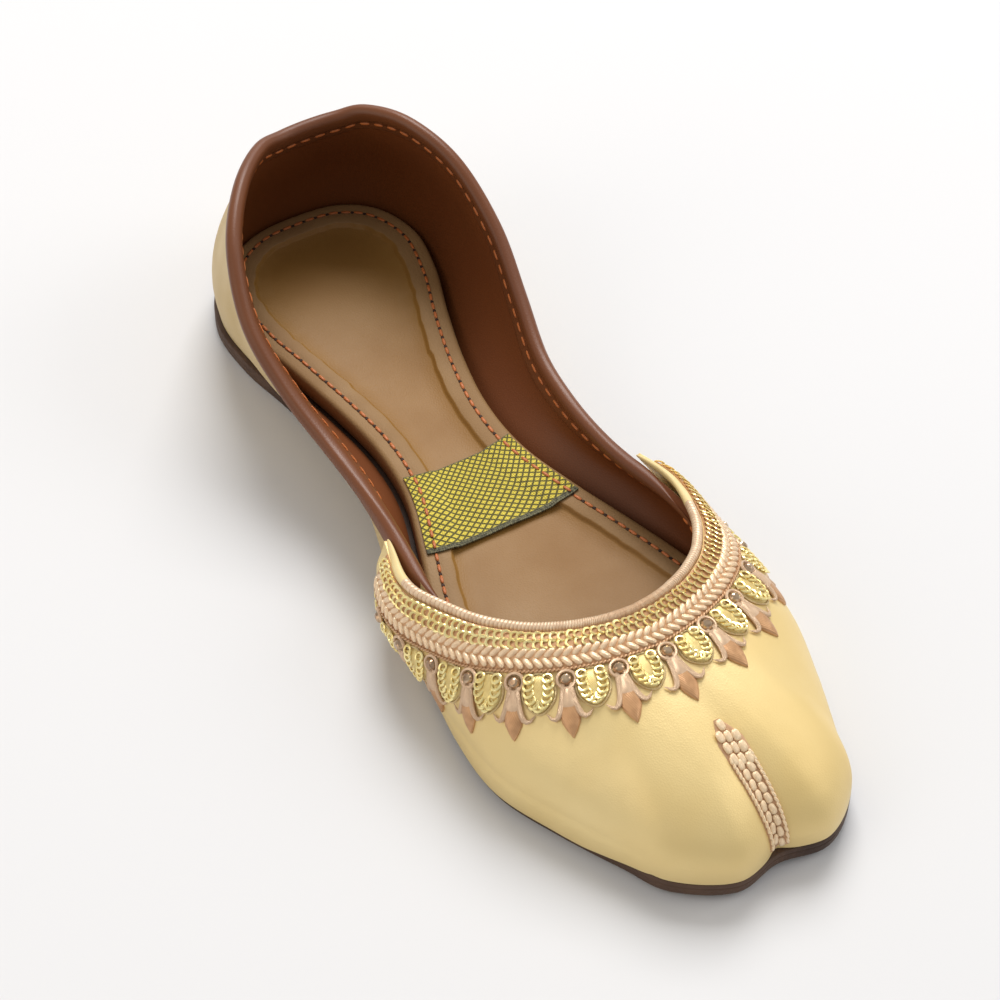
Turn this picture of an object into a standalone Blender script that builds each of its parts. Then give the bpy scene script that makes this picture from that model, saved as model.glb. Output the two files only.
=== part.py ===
"""A mojari: a flat slip-on shoe with an embroidered throat and a squared, split toe.

Lengths run from the heel (s = 0) to the toe along -Y, widths along X, heights along Z.
All sizes are in metres. The last is straight, so the shoe fits either foot.
"""

import math

import bmesh
import bpy
from mathutils import Matrix, Vector

# Driving sizes of the last
LENGTH = 0.2525
BALL_WIDTH = 0.0850
HEEL_HEIGHT = 0.0530
SIDE_HEIGHT = 0.0232
THROAT_HEIGHT = 0.0350
BOW = 0.0051
HEEL_SWING = 0.0025
TOE_SWING = 0.0018
COLLAR_LEAN = 0.0040
LEAN_REACH = 0.130
SPINE_HEEL = 0.36
SPINE_TOE = 0.30
CLEFT_DEPTH = 0.0016
CLEFT_WIDTH = 0.0060
VALLEY_DEPTH = 0.0015
VALLEY_WIDTH = 0.0150
VALLEY_REACH = 0.62

# Outsole
OUTSOLE_THICKNESS = 0.0045
OUTSOLE_EDGE_ROUND = 0.0007
TOE_SPRING = 0.0020
ARCH_RISE = 0.0012
ARCH_START = 0.24
ARCH_STOP = 0.60
SPRING_START = 0.74

# Walls, layers and the gap between touching pieces
GAP = 0.0003
UPPER_WALL = 0.0020
COVER_THICKNESS = 0.0010
COVER_EASE = 0.0004
INSOLE_THICKNESS = 0.0065
INSOLE_CLEARANCE = 0.0012
INSOLE_TOE_EASE = 0.0030
INSOLE_BORDER = 0.0062
INSOLE_DISH = 0.0007
INSOLE_STEP = 0.0015
INSOLE_EDGE_ROUND = 0.0012
INSOLE_TOE_STATIONS = 5.0
RIBBON_THICKNESS = 0.0005
RIBBON_BACK = 0.1085
RIBBON_WIDTH = 0.0250
RIBBON_ARCH = 0.0022
RIBBON_INSET = 0.0014

# Trims
BINDING_THICKNESS = 0.0009
BINDING_LEG = 0.0040
PIPING_DIAMETER = 0.0026
BRAID_OFFSET = 0.0005
BRAID_WIDTH = 0.0078
BRAID_THICKNESS = 0.0009
SEAM_WIDTH = 0.0056
SEAM_THICKNESS = 0.0008
SEAM_TOP = 0.0318
SEAM_BOTTOM = 0.0024
SEAM_TIP_SHARE = 0.35
SEAM_TAPER = 3.0

# Mesh density, and the steps used to measure along a curve or to search on it
SUBDIVISIONS = 3
WALL_ROWS = 8
BEAD_SIDES = 8
SEAM_ROWS = 12
RIBBON_ROWS = 6
MEASURE_STEPS = 48
SEARCH_STEPS = 30

# One row for each section of the last, from the middle of the heel to the middle of the toe.
# sole_s, top_s: place along the shoe as a share of LENGTH, at the outsole and at the topline.
# sole_x, top_x: half width as a share of half BALL_WIDTH.
# heel, side, throat: shares of the three named heights that make the topline's height.
# square: exponent of the section's curve, 1 for a straight wall and more for a boxy one.
# slope: share of the height that is gained evenly towards the topline.
# belly: outward swell of the wall in share of half BALL_WIDTH.
COLUMNS = ("sole_s", "sole_x", "top_s", "top_x", "heel", "side", "throat", "square", "slope", "belly")
STATIONS = {
    "heel_back":    (0.000, 0.000, 0.036, 0.000, 0.88, 0.00, 0.00, 1.0, 0.00, 0.070),
    "heel_round":   (0.008, 0.353, 0.040, 0.200, 0.89, 0.00, 0.00, 1.0, 0.00, 0.080),
    "heel_corner":  (0.042, 0.635, 0.058, 0.400, 0.94, 0.00, 0.00, 1.0, 0.00, 0.100),
    "heel_side":    (0.103, 0.788, 0.109, 0.618, 0.98, 0.00, 0.00, 1.0, 0.00, 0.105),
    "heel_front":   (0.171, 0.762, 0.175, 0.807, 0.84, 0.16, 0.00, 1.0, 0.00, 0.110),
    "counter_end":  (0.239, 0.655, 0.247, 0.896, 0.50, 0.50, 0.00, 1.0, 0.00, 0.085),
    "quarter":      (0.310, 0.555, 0.322, 0.850, 0.21, 0.79, 0.00, 1.0, 0.00, 0.065),
    "waist":        (0.382, 0.492, 0.390, 0.776, 0.03, 0.97, 0.00, 1.0, 0.00, 0.055),
    "waist_front":  (0.449, 0.512, 0.449, 0.748, 0.00, 1.00, 0.00, 1.0, 0.00, 0.065),
    "joint_back":   (0.517, 0.635, 0.505, 0.745, 0.00, 0.97, 0.03, 1.0, 0.00, 0.095),
    "joint":        (0.584, 0.776, 0.561, 0.766, 0.00, 0.88, 0.12, 1.1, 0.05, 0.128),
    "ball":         (0.652, 0.894, 0.624, 0.812, 0.00, 0.68, 0.32, 1.3, 0.12, 0.098),
    "ball_front":   (0.728, 0.988, 0.680, 0.757, 0.00, 0.41, 0.59, 1.7, 0.20, 0.050),
    "toe_side":     (0.795, 1.000, 0.720, 0.607, 0.00, 0.18, 0.82, 2.1, 0.28, 0.030),
    "toe_quarter":  (0.861, 0.871, 0.743, 0.433, 0.00, 0.06, 0.94, 2.4, 0.33, 0.015),
    "toe_shoulder": (0.922, 0.718, 0.755, 0.270, 0.00, 0.02, 0.98, 2.7, 0.36, 0.000),
    "toe_corner":   (0.966, 0.600, 0.760, 0.165, 0.00, 0.00, 1.00, 2.9, 0.38, 0.000),
    "toe_lobe":     (0.999, 0.306, 0.762, 0.078, 0.00, 0.00, 1.00, 3.0, 0.40, 0.000),
    "toe_middle":   (0.9915, 0.000, 0.763, 0.000, 0.00, 0.00, 1.00, 3.0, 0.40, 0.000),
}
ROWS = [dict(zip(COLUMNS, row)) for row in STATIONS.values()]
LAST_STATION = len(ROWS) - 1
ODD_COLUMNS = ("sole_x", "top_x")

# The vamp cover's free rear corners: the station where they start and how far they splay
EAR_RIGHT = 10.0
EAR_LEFT = 9.5
SPLAY_CENTRE = 10.5
SPLAY_SPREAD = 0.9
SPLAY_RISE = 1.6
SPLAY_RIGHT = 0.0024
SPLAY_LEFT = 0.0038
BINDING_END = 10.8
BRAID_START = 10.4

MATERIALS = {
    "outsole": ((0.110, 0.060, 0.036), 0.62, 0.0),
    "insole": ((0.380, 0.225, 0.095), 0.55, 0.0),
    "upper": ((0.140, 0.042, 0.012), 0.45, 0.0),
    "vamp_cover": ((0.820, 0.665, 0.330), 0.38, 0.0),
    "collar_binding": ((0.140, 0.042, 0.012), 0.42, 0.0),
    "throat_piping": ((0.760, 0.560, 0.390), 0.45, 0.0),
    "throat_braid": ((0.740, 0.520, 0.330), 0.42, 0.1),
    "toe_seam": ((0.700, 0.440, 0.260), 0.50, 0.0),
    "label_ribbon": ((0.560, 0.540, 0.090), 0.70, 0.0),
}


def station_value(column, position):
    """Read a column at a position along the stations, on a smooth curve through its rows."""
    sign = -1.0 if column in ODD_COLUMNS else 1.0

    def knot(index):
        if index < 0:
            return sign * ROWS[-index][column]
        if index > LAST_STATION:
            return sign * ROWS[2 * LAST_STATION - index][column]
        return ROWS[index][column]

    start = min(int(position), LAST_STATION - 1)
    t = position - start
    before, first, second, after = (knot(start + step) for step in (-1, 0, 1, 2))
    slope_first = (second - before) / 2.0
    slope_second = (after - first) / 2.0
    return (
        first * (1.0 + 2.0 * t) * (1.0 - t) ** 2
        + slope_first * t * (1.0 - t) ** 2
        + second * t * t * (3.0 - 2.0 * t)
        + slope_second * t * t * (t - 1.0)
    )


def place(s, x, z):
    """Turn a length, a half width and a height into a point, along the last's bowed middle line."""
    share = min(max(s / LENGTH, 0.0), 1.0)
    swing = HEEL_SWING * (1.0 - share) ** 3 + TOE_SWING * share ** 4
    middle = swing - BOW * math.sin(math.pi * share)
    return Vector((x + middle, LENGTH / 2.0 - s, z))


def sole_lift(s):
    """Height of the outsole's underside: arch at the waist, spring at the toe."""
    share = s / LENGTH
    arch = min(max((share - ARCH_START) / (ARCH_STOP - ARCH_START), 0.0), 1.0)
    spring = max(0.0, (share - SPRING_START) / (1.0 - SPRING_START))
    return ARCH_RISE * math.sin(math.pi * arch) ** 2 + TOE_SPRING * spring ** 2


def sole_top(s):
    """Height of the outsole's upper face."""
    return OUTSOLE_THICKNESS + sole_lift(s)


def outline_point(position, side, inset=0.0):
    """A point of the outsole's outline as (s, x), moved inwards by an inset."""
    step = 0.02
    s = station_value("sole_s", position) * LENGTH
    x = station_value("sole_x", position) * BALL_WIDTH / 2.0
    behind = max(position - step, 0.0)
    ahead = min(position + step, float(LAST_STATION))
    along_s = (station_value("sole_s", ahead) - station_value("sole_s", behind)) * LENGTH
    along_x = (station_value("sole_x", ahead) - station_value("sole_x", behind)) * BALL_WIDTH / 2.0
    size = math.hypot(along_s, along_x)
    s += along_x / size * inset
    x = max(x - along_s / size * inset, 0.0)
    return s, side * x


def ring_positions(start=0.0, stop=float(LAST_STATION)):
    """Positions evenly spaced between two stations, ends included."""
    count = max(2, round((stop - start) * SUBDIVISIONS))
    return [start + (stop - start) * index / count for index in range(count + 1)]


def closed_ring():
    """Signed columns once round the shoe: right side from heel to toe, then back on the left."""
    right = [(1.0, position) for position in ring_positions()]
    left = [(-1.0, position) for position in reversed(ring_positions()[1:-1])]
    return right + left


def front_arc(start_right, start_left):
    """Signed columns from the right side at a station round the toe to the left side."""
    right = [(1.0, position) for position in ring_positions(start_right)]
    left = [(-1.0, position) for position in reversed(ring_positions(start_left)[:-1])]
    return right + left


def back_arc(stop):
    """Signed columns from the right side at a station round the heel to the left side."""
    right = [(1.0, position) for position in reversed(ring_positions(0.0, stop))]
    left = [(-1.0, position) for position in ring_positions(0.0, stop)[1:]]
    return right + left


def hollow(depth, width, x):
    """Depth of a soft hollow along the middle line, at a distance to its side."""
    return depth * math.exp(-((2.0 * x / width) ** 2))


def last_surface(side, position, t):
    """A point on the upper's outer surface, from the feather line (t = 0) to the topline (t = 1)."""
    inset = COVER_THICKNESS + COVER_EASE
    start_s, start_x = outline_point(position, 1.0, inset)
    end_s = station_value("top_s", position) * LENGTH
    end_x = station_value("top_x", position) * BALL_WIDTH / 2.0
    top = (
        station_value("heel", position) * HEEL_HEIGHT
        + station_value("side", position) * SIDE_HEIGHT
        + station_value("throat", position) * THROAT_HEIGHT
    )
    square = station_value("square", position)
    slope = station_value("slope", position)
    rise = t ** (square / 2.0)
    fall = (1.0 - t) ** (square / 2.0)
    angle = math.pi / 2.0 * rise / (rise + fall)
    inwards = 1.0 - math.cos(angle) ** (2.0 / square) if t < 1.0 else 1.0
    upwards = math.sin(angle) ** (2.0 / square)
    base = sole_top(start_s) + GAP
    swell = station_value("belly", position) * BALL_WIDTH / 2.0 * math.sin(math.pi * t ** 0.8)
    outer_s, outer_x = outline_point(position, 1.0, inset - swell)
    s = outer_s + (end_s - start_s) * inwards
    x = outer_x + (end_x - start_x) * inwards
    z = base + (top - base) * ((1.0 - slope) * upwards + slope * inwards)
    lean = COLLAR_LEAN * math.exp(-((end_s / LENGTH / LEAN_REACH) ** 2)) * inwards
    if position > LAST_STATION / 2:
        s -= hollow(CLEFT_DEPTH, CLEFT_WIDTH, x) * (1.0 - t)
        z -= hollow(VALLEY_DEPTH, VALLEY_WIDTH, x) * math.sin(math.pi * min(1.0, t / VALLEY_REACH))
    return place(s, side * x + lean, z)


def surface_normal(side, position, t):
    """The outward direction of the upper's outer surface."""
    step = 0.01
    low, high = max(t - step, 0.0), min(t + step, 1.0)
    up = last_surface(side, position, high) - last_surface(side, position, low)
    if position - step < 0.0:
        along = last_surface(side, step, t) - last_surface(-side, step, t)
    elif position + step > LAST_STATION:
        along = last_surface(-side, LAST_STATION - step, t) - last_surface(side, LAST_STATION - step, t)
    else:
        along = last_surface(side, position + step, t) - last_surface(side, position - step, t)
    return (up.cross(along) * side).normalized()


def layer_point(side, position, t, offset):
    """A point at an offset from the upper's outer surface, never below the outsole's top."""
    point = last_surface(side, position, t) + surface_normal(side, position, t) * offset
    point.z = max(point.z, sole_top(LENGTH / 2.0 - point.y) + GAP)
    return point


def cover_point(side, position, t, offset):
    """A point on the vamp cover, which splays off the upper near its free rear corners."""
    reach = SPLAY_RIGHT if side > 0.0 else SPLAY_LEFT
    splay = reach * math.exp(-((position - SPLAY_CENTRE) / SPLAY_SPREAD) ** 2)
    point = layer_point(side, position, t, offset)
    share = math.sin(math.pi / 2.0 * min(1.0, t * SPLAY_RISE))
    return point + Vector((side * splay * share, 0.0, 0.0))


def shell_mesh(name, columns, rows, outer, inner, closed):
    """A thin wall between two surfaces, sampled over columns and rows, with all its edges closed."""
    mesh = bmesh.new()
    grids = []
    for surface in (outer, inner):
        grid = [[mesh.verts.new(surface(side, position, t)) for t in rows] for side, position in columns]
        grids.append(grid)
    outside, inside = grids
    count = len(columns)
    spans = count if closed else count - 1
    for column in range(spans):
        following = (column + 1) % count
        for row in range(len(rows) - 1):
            a, b = outside[column][row], outside[following][row]
            c, d = outside[following][row + 1], outside[column][row + 1]
            mesh.faces.new((a, b, c, d))
            a, b = inside[column][row], inside[following][row]
            c, d = inside[following][row + 1], inside[column][row + 1]
            mesh.faces.new((d, c, b, a))
        for row in (0, len(rows) - 1):
            edge = (outside[column][row], outside[following][row], inside[following][row], inside[column][row])
            mesh.faces.new(edge if row else tuple(reversed(edge)))
    if not closed:
        for column in (0, count - 1):
            for row in range(len(rows) - 1):
                edge = (
                    outside[column][row],
                    outside[column][row + 1],
                    inside[column][row + 1],
                    inside[column][row],
                )
                mesh.faces.new(edge)
    return finish_mesh(name, mesh)


def slab_mesh(name, columns, profile, height, outline):
    """A flat piece: a profile of (inset, height) pairs led round an outline and closed on its spine.

    The height function turns a profile height and a place along the shoe into z.
    """
    mesh = bmesh.new()
    spine_start = BALL_WIDTH * SPINE_HEEL
    spine_stop = LENGTH - BALL_WIDTH * SPINE_TOE
    grid = []
    for side, position in columns:
        s, x = outline(position, side)
        spine = min(max(s, spine_start), spine_stop)
        reach = math.hypot(spine - s, x)
        column = []
        for inset, level in profile:
            share = 1.0 if inset is None else min(inset / reach, 1.0)
            at_s = s + (spine - s) * share
            column.append(mesh.verts.new(place(at_s, x * (1.0 - share), height(level, at_s))))
        grid.append(column)
    count = len(columns)
    for column in range(count):
        following = (column + 1) % count
        for row in range(len(profile) - 1):
            a, b = grid[column][row], grid[following][row]
            c, d = grid[following][row + 1], grid[column][row + 1]
            mesh.faces.new((a, b, c, d))
    return finish_mesh(name, mesh)


def loft_mesh(name, sections):
    """A strip lofted through closed sections of the same number of points, with its ends capped."""
    mesh = bmesh.new()
    rings = [[mesh.verts.new(point) for point in section] for section in sections]
    for first, second in zip(rings, rings[1:]):
        for index in range(len(first)):
            following = (index + 1) % len(first)
            mesh.faces.new((first[index], first[following], second[following], second[index]))
    mesh.faces.new(rings[0])
    mesh.faces.new(rings[-1])
    return finish_mesh(name, mesh)


def finish_mesh(name, mesh):
    """Merge doubled points, turn the faces outwards and make the object."""
    bmesh.ops.remove_doubles(mesh, verts=mesh.verts, dist=0.00002)
    bmesh.ops.dissolve_degenerate(mesh, edges=mesh.edges, dist=0.00001)
    bmesh.ops.triangulate(mesh, faces=mesh.faces)
    bmesh.ops.recalc_face_normals(mesh, faces=mesh.faces)
    data = bpy.data.meshes.new(name)
    mesh.to_mesh(data)
    mesh.free()
    data.shade_smooth()
    data.set_sharp_from_angle(angle=math.radians(40.0))
    piece = bpy.data.objects.new(name, data)
    bpy.context.scene.collection.objects.link(piece)
    data.materials.append(make_material(name))
    return piece


def make_material(name):
    """The Principled material of a piece."""
    colour, roughness, metallic = MATERIALS[name]
    material = bpy.data.materials.new(name)
    material.use_nodes = True
    shader = material.node_tree.nodes["Principled BSDF"]
    shader.inputs["Base Color"].default_value = (*colour, 1.0)
    shader.inputs["Roughness"].default_value = roughness
    shader.inputs["Metallic"].default_value = metallic
    return material


def wall_rows():
    """Evenly spaced rows from the sole to the topline."""
    return [index / WALL_ROWS for index in range(WALL_ROWS + 1)]


def make_outsole():
    """The leather outsole, with its edges slightly rounded."""
    edge = OUTSOLE_EDGE_ROUND
    profile = (
        (None, 0.0),
        (edge, 0.0),
        (0.0, edge),
        (0.0, OUTSOLE_THICKNESS - edge),
        (edge, OUTSOLE_THICKNESS),
        (None, OUTSOLE_THICKNESS),
    )
    return slab_mesh(
        "outsole",
        closed_ring(),
        profile,
        lambda level, s: level + sole_lift(s),
        lambda position, side: outline_point(position, side),
    )


def insole_outline(position, side):
    """The footbed's outline, clear of the upper's inner wall."""
    toe = max(0.0, 1.0 - (LAST_STATION - position) / INSOLE_TOE_STATIONS)
    inset = COVER_THICKNESS + COVER_EASE + UPPER_WALL + INSOLE_CLEARANCE + INSOLE_TOE_EASE * toe ** 2
    return outline_point(position, side, inset)


def make_insole():
    """The padded footbed: a rounded edge, a flat stitched border and a dished middle."""
    top = INSOLE_THICKNESS
    edge = INSOLE_EDGE_ROUND
    profile = (
        (None, 0.0),
        (edge, 0.0),
        (0.0, edge),
        (0.0, top - edge),
        (edge, top),
        (INSOLE_BORDER, top),
        (INSOLE_BORDER + INSOLE_STEP, top - INSOLE_DISH),
        (None, top - INSOLE_DISH),
    )
    return slab_mesh(
        "insole", closed_ring(), profile, lambda level, s: level + sole_top(s) + GAP, insole_outline
    )


def make_upper():
    """The quarters and the vamp's lining: one hollow shell, open below and at the throat."""
    return shell_mesh(
        "upper",
        closed_ring(),
        wall_rows(),
        lambda side, position, t: layer_point(side, position, t, 0.0),
        lambda side, position, t: layer_point(side, position, t, -UPPER_WALL),
        True,
    )


def make_vamp_cover():
    """The outer vamp over the front of the upper, from the feather line to the throat."""
    return shell_mesh(
        "vamp_cover",
        front_arc(EAR_RIGHT, EAR_LEFT),
        wall_rows(),
        lambda side, position, t: cover_point(side, position, t, COVER_EASE + COVER_THICKNESS),
        lambda side, position, t: cover_point(side, position, t, COVER_EASE),
        False,
    )


def row_at(side, position, distance):
    """The row of a column that lies at a distance from the topline, measured along the surface."""
    travelled = 0.0
    previous = last_surface(side, position, 1.0)
    for index in range(1, MEASURE_STEPS + 1):
        t = 1.0 - index / MEASURE_STEPS
        point = last_surface(side, position, t)
        length = (point - previous).length
        if travelled + length >= distance:
            return t + (1.0 - (distance - travelled) / length) / MEASURE_STEPS
        travelled += length
        previous = point
    return 0.0


def binding_section(side, position):
    """The folded leather strip round the collar's edge, as a closed section."""
    near = GAP
    far = GAP + BINDING_THICKNESS
    low = row_at(side, position, BINDING_LEG)
    middle = row_at(side, position, BINDING_LEG / 2.0)
    edge_out = layer_point(side, position, 1.0, 0.0)
    edge_in = layer_point(side, position, 1.0, -UPPER_WALL)
    up = (edge_out - layer_point(side, position, middle, 0.0)).normalized()
    out = (edge_out - edge_in).normalized()
    centre = (edge_out + edge_in) / 2.0
    return [
        layer_point(side, position, low, near),
        layer_point(side, position, low, far),
        layer_point(side, position, middle, far),
        edge_out + out * far,
        edge_out + out * near * 0.5 + up * (far * 0.9),
        centre + up * (far * 1.25),
        edge_in - out * near * 0.5 + up * (far * 0.9),
        edge_in - out * far,
        layer_point(side, position, middle, -UPPER_WALL - far),
        layer_point(side, position, low, -UPPER_WALL - far),
        layer_point(side, position, low, -UPPER_WALL - near),
        layer_point(side, position, middle, -UPPER_WALL - near),
        edge_in - out * near + up * near,
        edge_out + out * near + up * near,
        layer_point(side, position, middle, near),
    ]


def make_collar_binding():
    """The brown roll along the collar, from one vamp corner round the heel to the other."""
    return loft_mesh(
        "collar_binding", [binding_section(side, position) for side, position in back_arc(BINDING_END)]
    )


def piping_section(side, position):
    """The round piping that stands on the throat edge of the vamp cover."""
    outer = cover_point(side, position, 1.0, COVER_EASE + COVER_THICKNESS)
    inner = cover_point(side, position, 1.0, COVER_EASE)
    below = cover_point(side, position, row_at(side, position, PIPING_DIAMETER), COVER_EASE)
    up = (inner - below).normalized()
    out = (outer - inner).normalized()
    radius = PIPING_DIAMETER / 2.0
    centre = (outer + inner) / 2.0 + up * (radius + GAP)
    angles = [2.0 * math.pi * (index + 0.5) / BEAD_SIDES for index in range(BEAD_SIDES)]
    return [centre + out * (math.cos(a) * radius) + up * (math.sin(a) * radius) for a in angles]


def make_throat_piping():
    """The pale piping round the throat, from one free corner of the vamp to the other."""
    return loft_mesh(
        "throat_piping", [piping_section(side, position) for side, position in front_arc(EAR_RIGHT, EAR_LEFT)]
    )


def band_point(side, position, distance, height):
    """A point above the vamp cover at a distance from its throat edge."""
    t = row_at(side, position, distance)
    return cover_point(side, position, t, COVER_EASE + COVER_THICKNESS + GAP + height)


def make_throat_braid():
    """The embroidered band beside the piping, slightly domed."""
    start = BRAID_OFFSET
    stop = start + BRAID_WIDTH
    profile = (
        (start, 0.0),
        (start, BRAID_THICKNESS * 0.6),
        (start + BRAID_WIDTH * 0.3, BRAID_THICKNESS),
        (stop - BRAID_WIDTH * 0.3, BRAID_THICKNESS),
        (stop, BRAID_THICKNESS * 0.6),
        (stop, 0.0),
        ((start + stop) / 2.0, 0.0),
    )
    sections = []
    for side, position in front_arc(BRAID_START, BRAID_START):
        sections.append([band_point(side, position, distance, height) for distance, height in profile])
    return loft_mesh("throat_braid", sections)


def column_at(t, width):
    """The column near the toe whose surface lies at a half width, at a row."""
    low, high = LAST_STATION - 4.0, float(LAST_STATION)
    for _ in range(SEARCH_STEPS):
        middle = (low + high) / 2.0
        reach = last_surface(1.0, middle, t).x - last_surface(1.0, LAST_STATION, t).x
        if reach > width:
            low = middle
        else:
            high = middle
    return (low + high) / 2.0


def make_toe_seam():
    """The raised embroidered seam down the middle of the toe."""
    top = row_at(1.0, float(LAST_STATION), SEAM_TOP)
    bottom = row_at(1.0, float(LAST_STATION), row_length() - SEAM_BOTTOM)
    base = COVER_EASE + COVER_THICKNESS + GAP
    sections = []
    for index in range(SEAM_ROWS + 1):
        share = index / SEAM_ROWS
        t = top + (bottom - top) * share
        width = SEAM_WIDTH / 2.0 * min(1.0, SEAM_TIP_SHARE + SEAM_TAPER * share)
        half = column_at(t, width)
        quarter = column_at(t, width / 2.0)
        across = ((-1.0, half), (-1.0, quarter), (1.0, float(LAST_STATION)), (1.0, quarter), (1.0, half))
        heights = (0.5, 0.9, 1.0, 0.9, 0.5)
        upper = [
            cover_point(side, position, t, base + SEAM_THICKNESS * height)
            for (side, position), height in zip(across, heights)
        ]
        lower = [cover_point(side, position, t, base) for side, position in reversed(across)]
        sections.append(upper + lower)
    return loft_mesh("toe_seam", sections)


def row_length():
    """Length of the middle column of the toe, from throat to sole."""
    shares = [index / MEASURE_STEPS for index in range(MEASURE_STEPS + 1)]
    points = [last_surface(1.0, float(LAST_STATION), share) for share in shares]
    return sum((second - first).length for first, second in zip(points, points[1:]))


def insole_half_width(s):
    """Half width of the footbed at a place between the heel and the ball."""
    low, high = 2.0, 12.0
    for _ in range(SEARCH_STEPS):
        middle = (low + high) / 2.0
        if insole_outline(middle, 1.0)[0] < s:
            low = middle
        else:
            high = middle
    return insole_outline((low + high) / 2.0, 1.0)[1]


def insole_level(s, from_edge):
    """Height of the footbed's top at a distance from its edge."""
    dish = min(max((from_edge - INSOLE_BORDER) / INSOLE_STEP, 0.0), 1.0)
    return sole_top(s) + GAP + INSOLE_THICKNESS - INSOLE_DISH * dish


def make_label_ribbon():
    """The woven ribbon sewn across the footbed, lying on its border and its dished middle."""
    from_edge = (RIBBON_INSET, INSOLE_BORDER, INSOLE_BORDER + INSOLE_STEP)
    left = [(-1.0, distance) for distance in from_edge]
    right = [(1.0, distance) for distance in reversed(from_edge)]
    sections = []
    for row in range(RIBBON_ROWS + 1):
        upper = []
        lower = []
        for side, distance in left + right:
            inwards = distance / (INSOLE_BORDER + INSOLE_STEP)
            s = RIBBON_BACK + RIBBON_WIDTH * row / RIBBON_ROWS + RIBBON_ARCH * math.sqrt(inwards)
            x = side * (insole_half_width(s) - distance)
            base = insole_level(s, distance) + GAP
            lower.append(place(s, x, base))
            upper.append(place(s, x, base + RIBBON_THICKNESS))
        sections.append(upper + lower[::-1])
    return loft_mesh("label_ribbon", sections)


def centre_pieces():
    """Put the middle of the whole shoe's floor box at the origin."""
    meshes = [item.data for item in bpy.data.objects]
    across = [vertex.co.x for data in meshes for vertex in data.vertices]
    along = [vertex.co.y for data in meshes for vertex in data.vertices]
    shift = Vector((-(min(across) + max(across)) / 2.0, -(min(along) + max(along)) / 2.0, 0.0))
    for data in meshes:
        data.transform(Matrix.Translation(shift))


def main():
    """Clear the scene and make every piece."""
    for item in list(bpy.data.objects):
        bpy.data.objects.remove(item, do_unlink=True)
    make_outsole()
    make_insole()
    make_upper()
    make_collar_binding()
    make_vamp_cover()
    make_throat_piping()
    make_throat_braid()
    make_toe_seam()
    make_label_ribbon()
    centre_pieces()


main()
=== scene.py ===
"""The looks of a mojari: a flat slip-on shoe with an embroidered throat, dressed over its frame.

All sizes are in metres. The heel points along +Y and the toe along -Y. A place on the last is
given by a side (1.0 right, -1.0 left), a position along its stations and a row t, which runs
from the feather line at the sole (0) to the topline (1).
"""

import logging
import math
import random
from dataclasses import dataclass, field
from enum import Enum
from typing import Callable, Iterable

import bpy
from mathutils import Matrix, Vector, noise
from mathutils.bvhtree import BVHTree

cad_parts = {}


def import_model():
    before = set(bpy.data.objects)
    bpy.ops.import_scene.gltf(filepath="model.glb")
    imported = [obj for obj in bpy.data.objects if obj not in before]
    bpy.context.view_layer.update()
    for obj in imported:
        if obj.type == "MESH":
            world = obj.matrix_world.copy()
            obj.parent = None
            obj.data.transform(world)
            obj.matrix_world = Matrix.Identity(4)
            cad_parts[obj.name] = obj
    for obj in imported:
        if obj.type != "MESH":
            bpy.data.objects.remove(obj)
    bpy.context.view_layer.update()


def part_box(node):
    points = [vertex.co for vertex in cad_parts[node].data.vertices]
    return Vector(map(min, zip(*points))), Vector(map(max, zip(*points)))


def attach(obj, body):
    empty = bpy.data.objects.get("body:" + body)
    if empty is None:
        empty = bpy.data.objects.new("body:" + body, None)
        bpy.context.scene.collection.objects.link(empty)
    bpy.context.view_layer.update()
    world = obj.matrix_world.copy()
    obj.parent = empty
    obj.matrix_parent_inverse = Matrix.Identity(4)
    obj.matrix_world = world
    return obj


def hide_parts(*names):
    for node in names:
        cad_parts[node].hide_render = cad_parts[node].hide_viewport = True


LOG = logging.getLogger("mojari")
Colour = tuple[float, float, float]
Place = Callable[[float, float], Vector]
TONES = (0.35, 0.65)
COAT_ROUGHNESS = 0.25
SHEEN_ROUGHNESS = 0.4
RISE = Vector((0.0, 0.0, 1.0))
FINE_ROWS = 96
BED_THICKNESS = 0.0003


def srgb(red: int, green: int, blue: int) -> Colour:
    """Turn a screen colour of 0 to 255 a channel into linear values."""
    shares = (red / 255.0, green / 255.0, blue / 255.0)
    return tuple(((share + 0.055) / 1.055) ** 2.4 if share > 0.04 else share / 12.92 for share in shares)


def held(value: float, low: float = 0.0, high: float = 1.0) -> float:
    """Hold a number inside a range."""
    return min(max(value, low), high)


def smooth(share: float) -> float:
    """Ease a share in and out."""
    return share * share * (3.0 - 2.0 * share)


# Shader nodes


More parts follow.
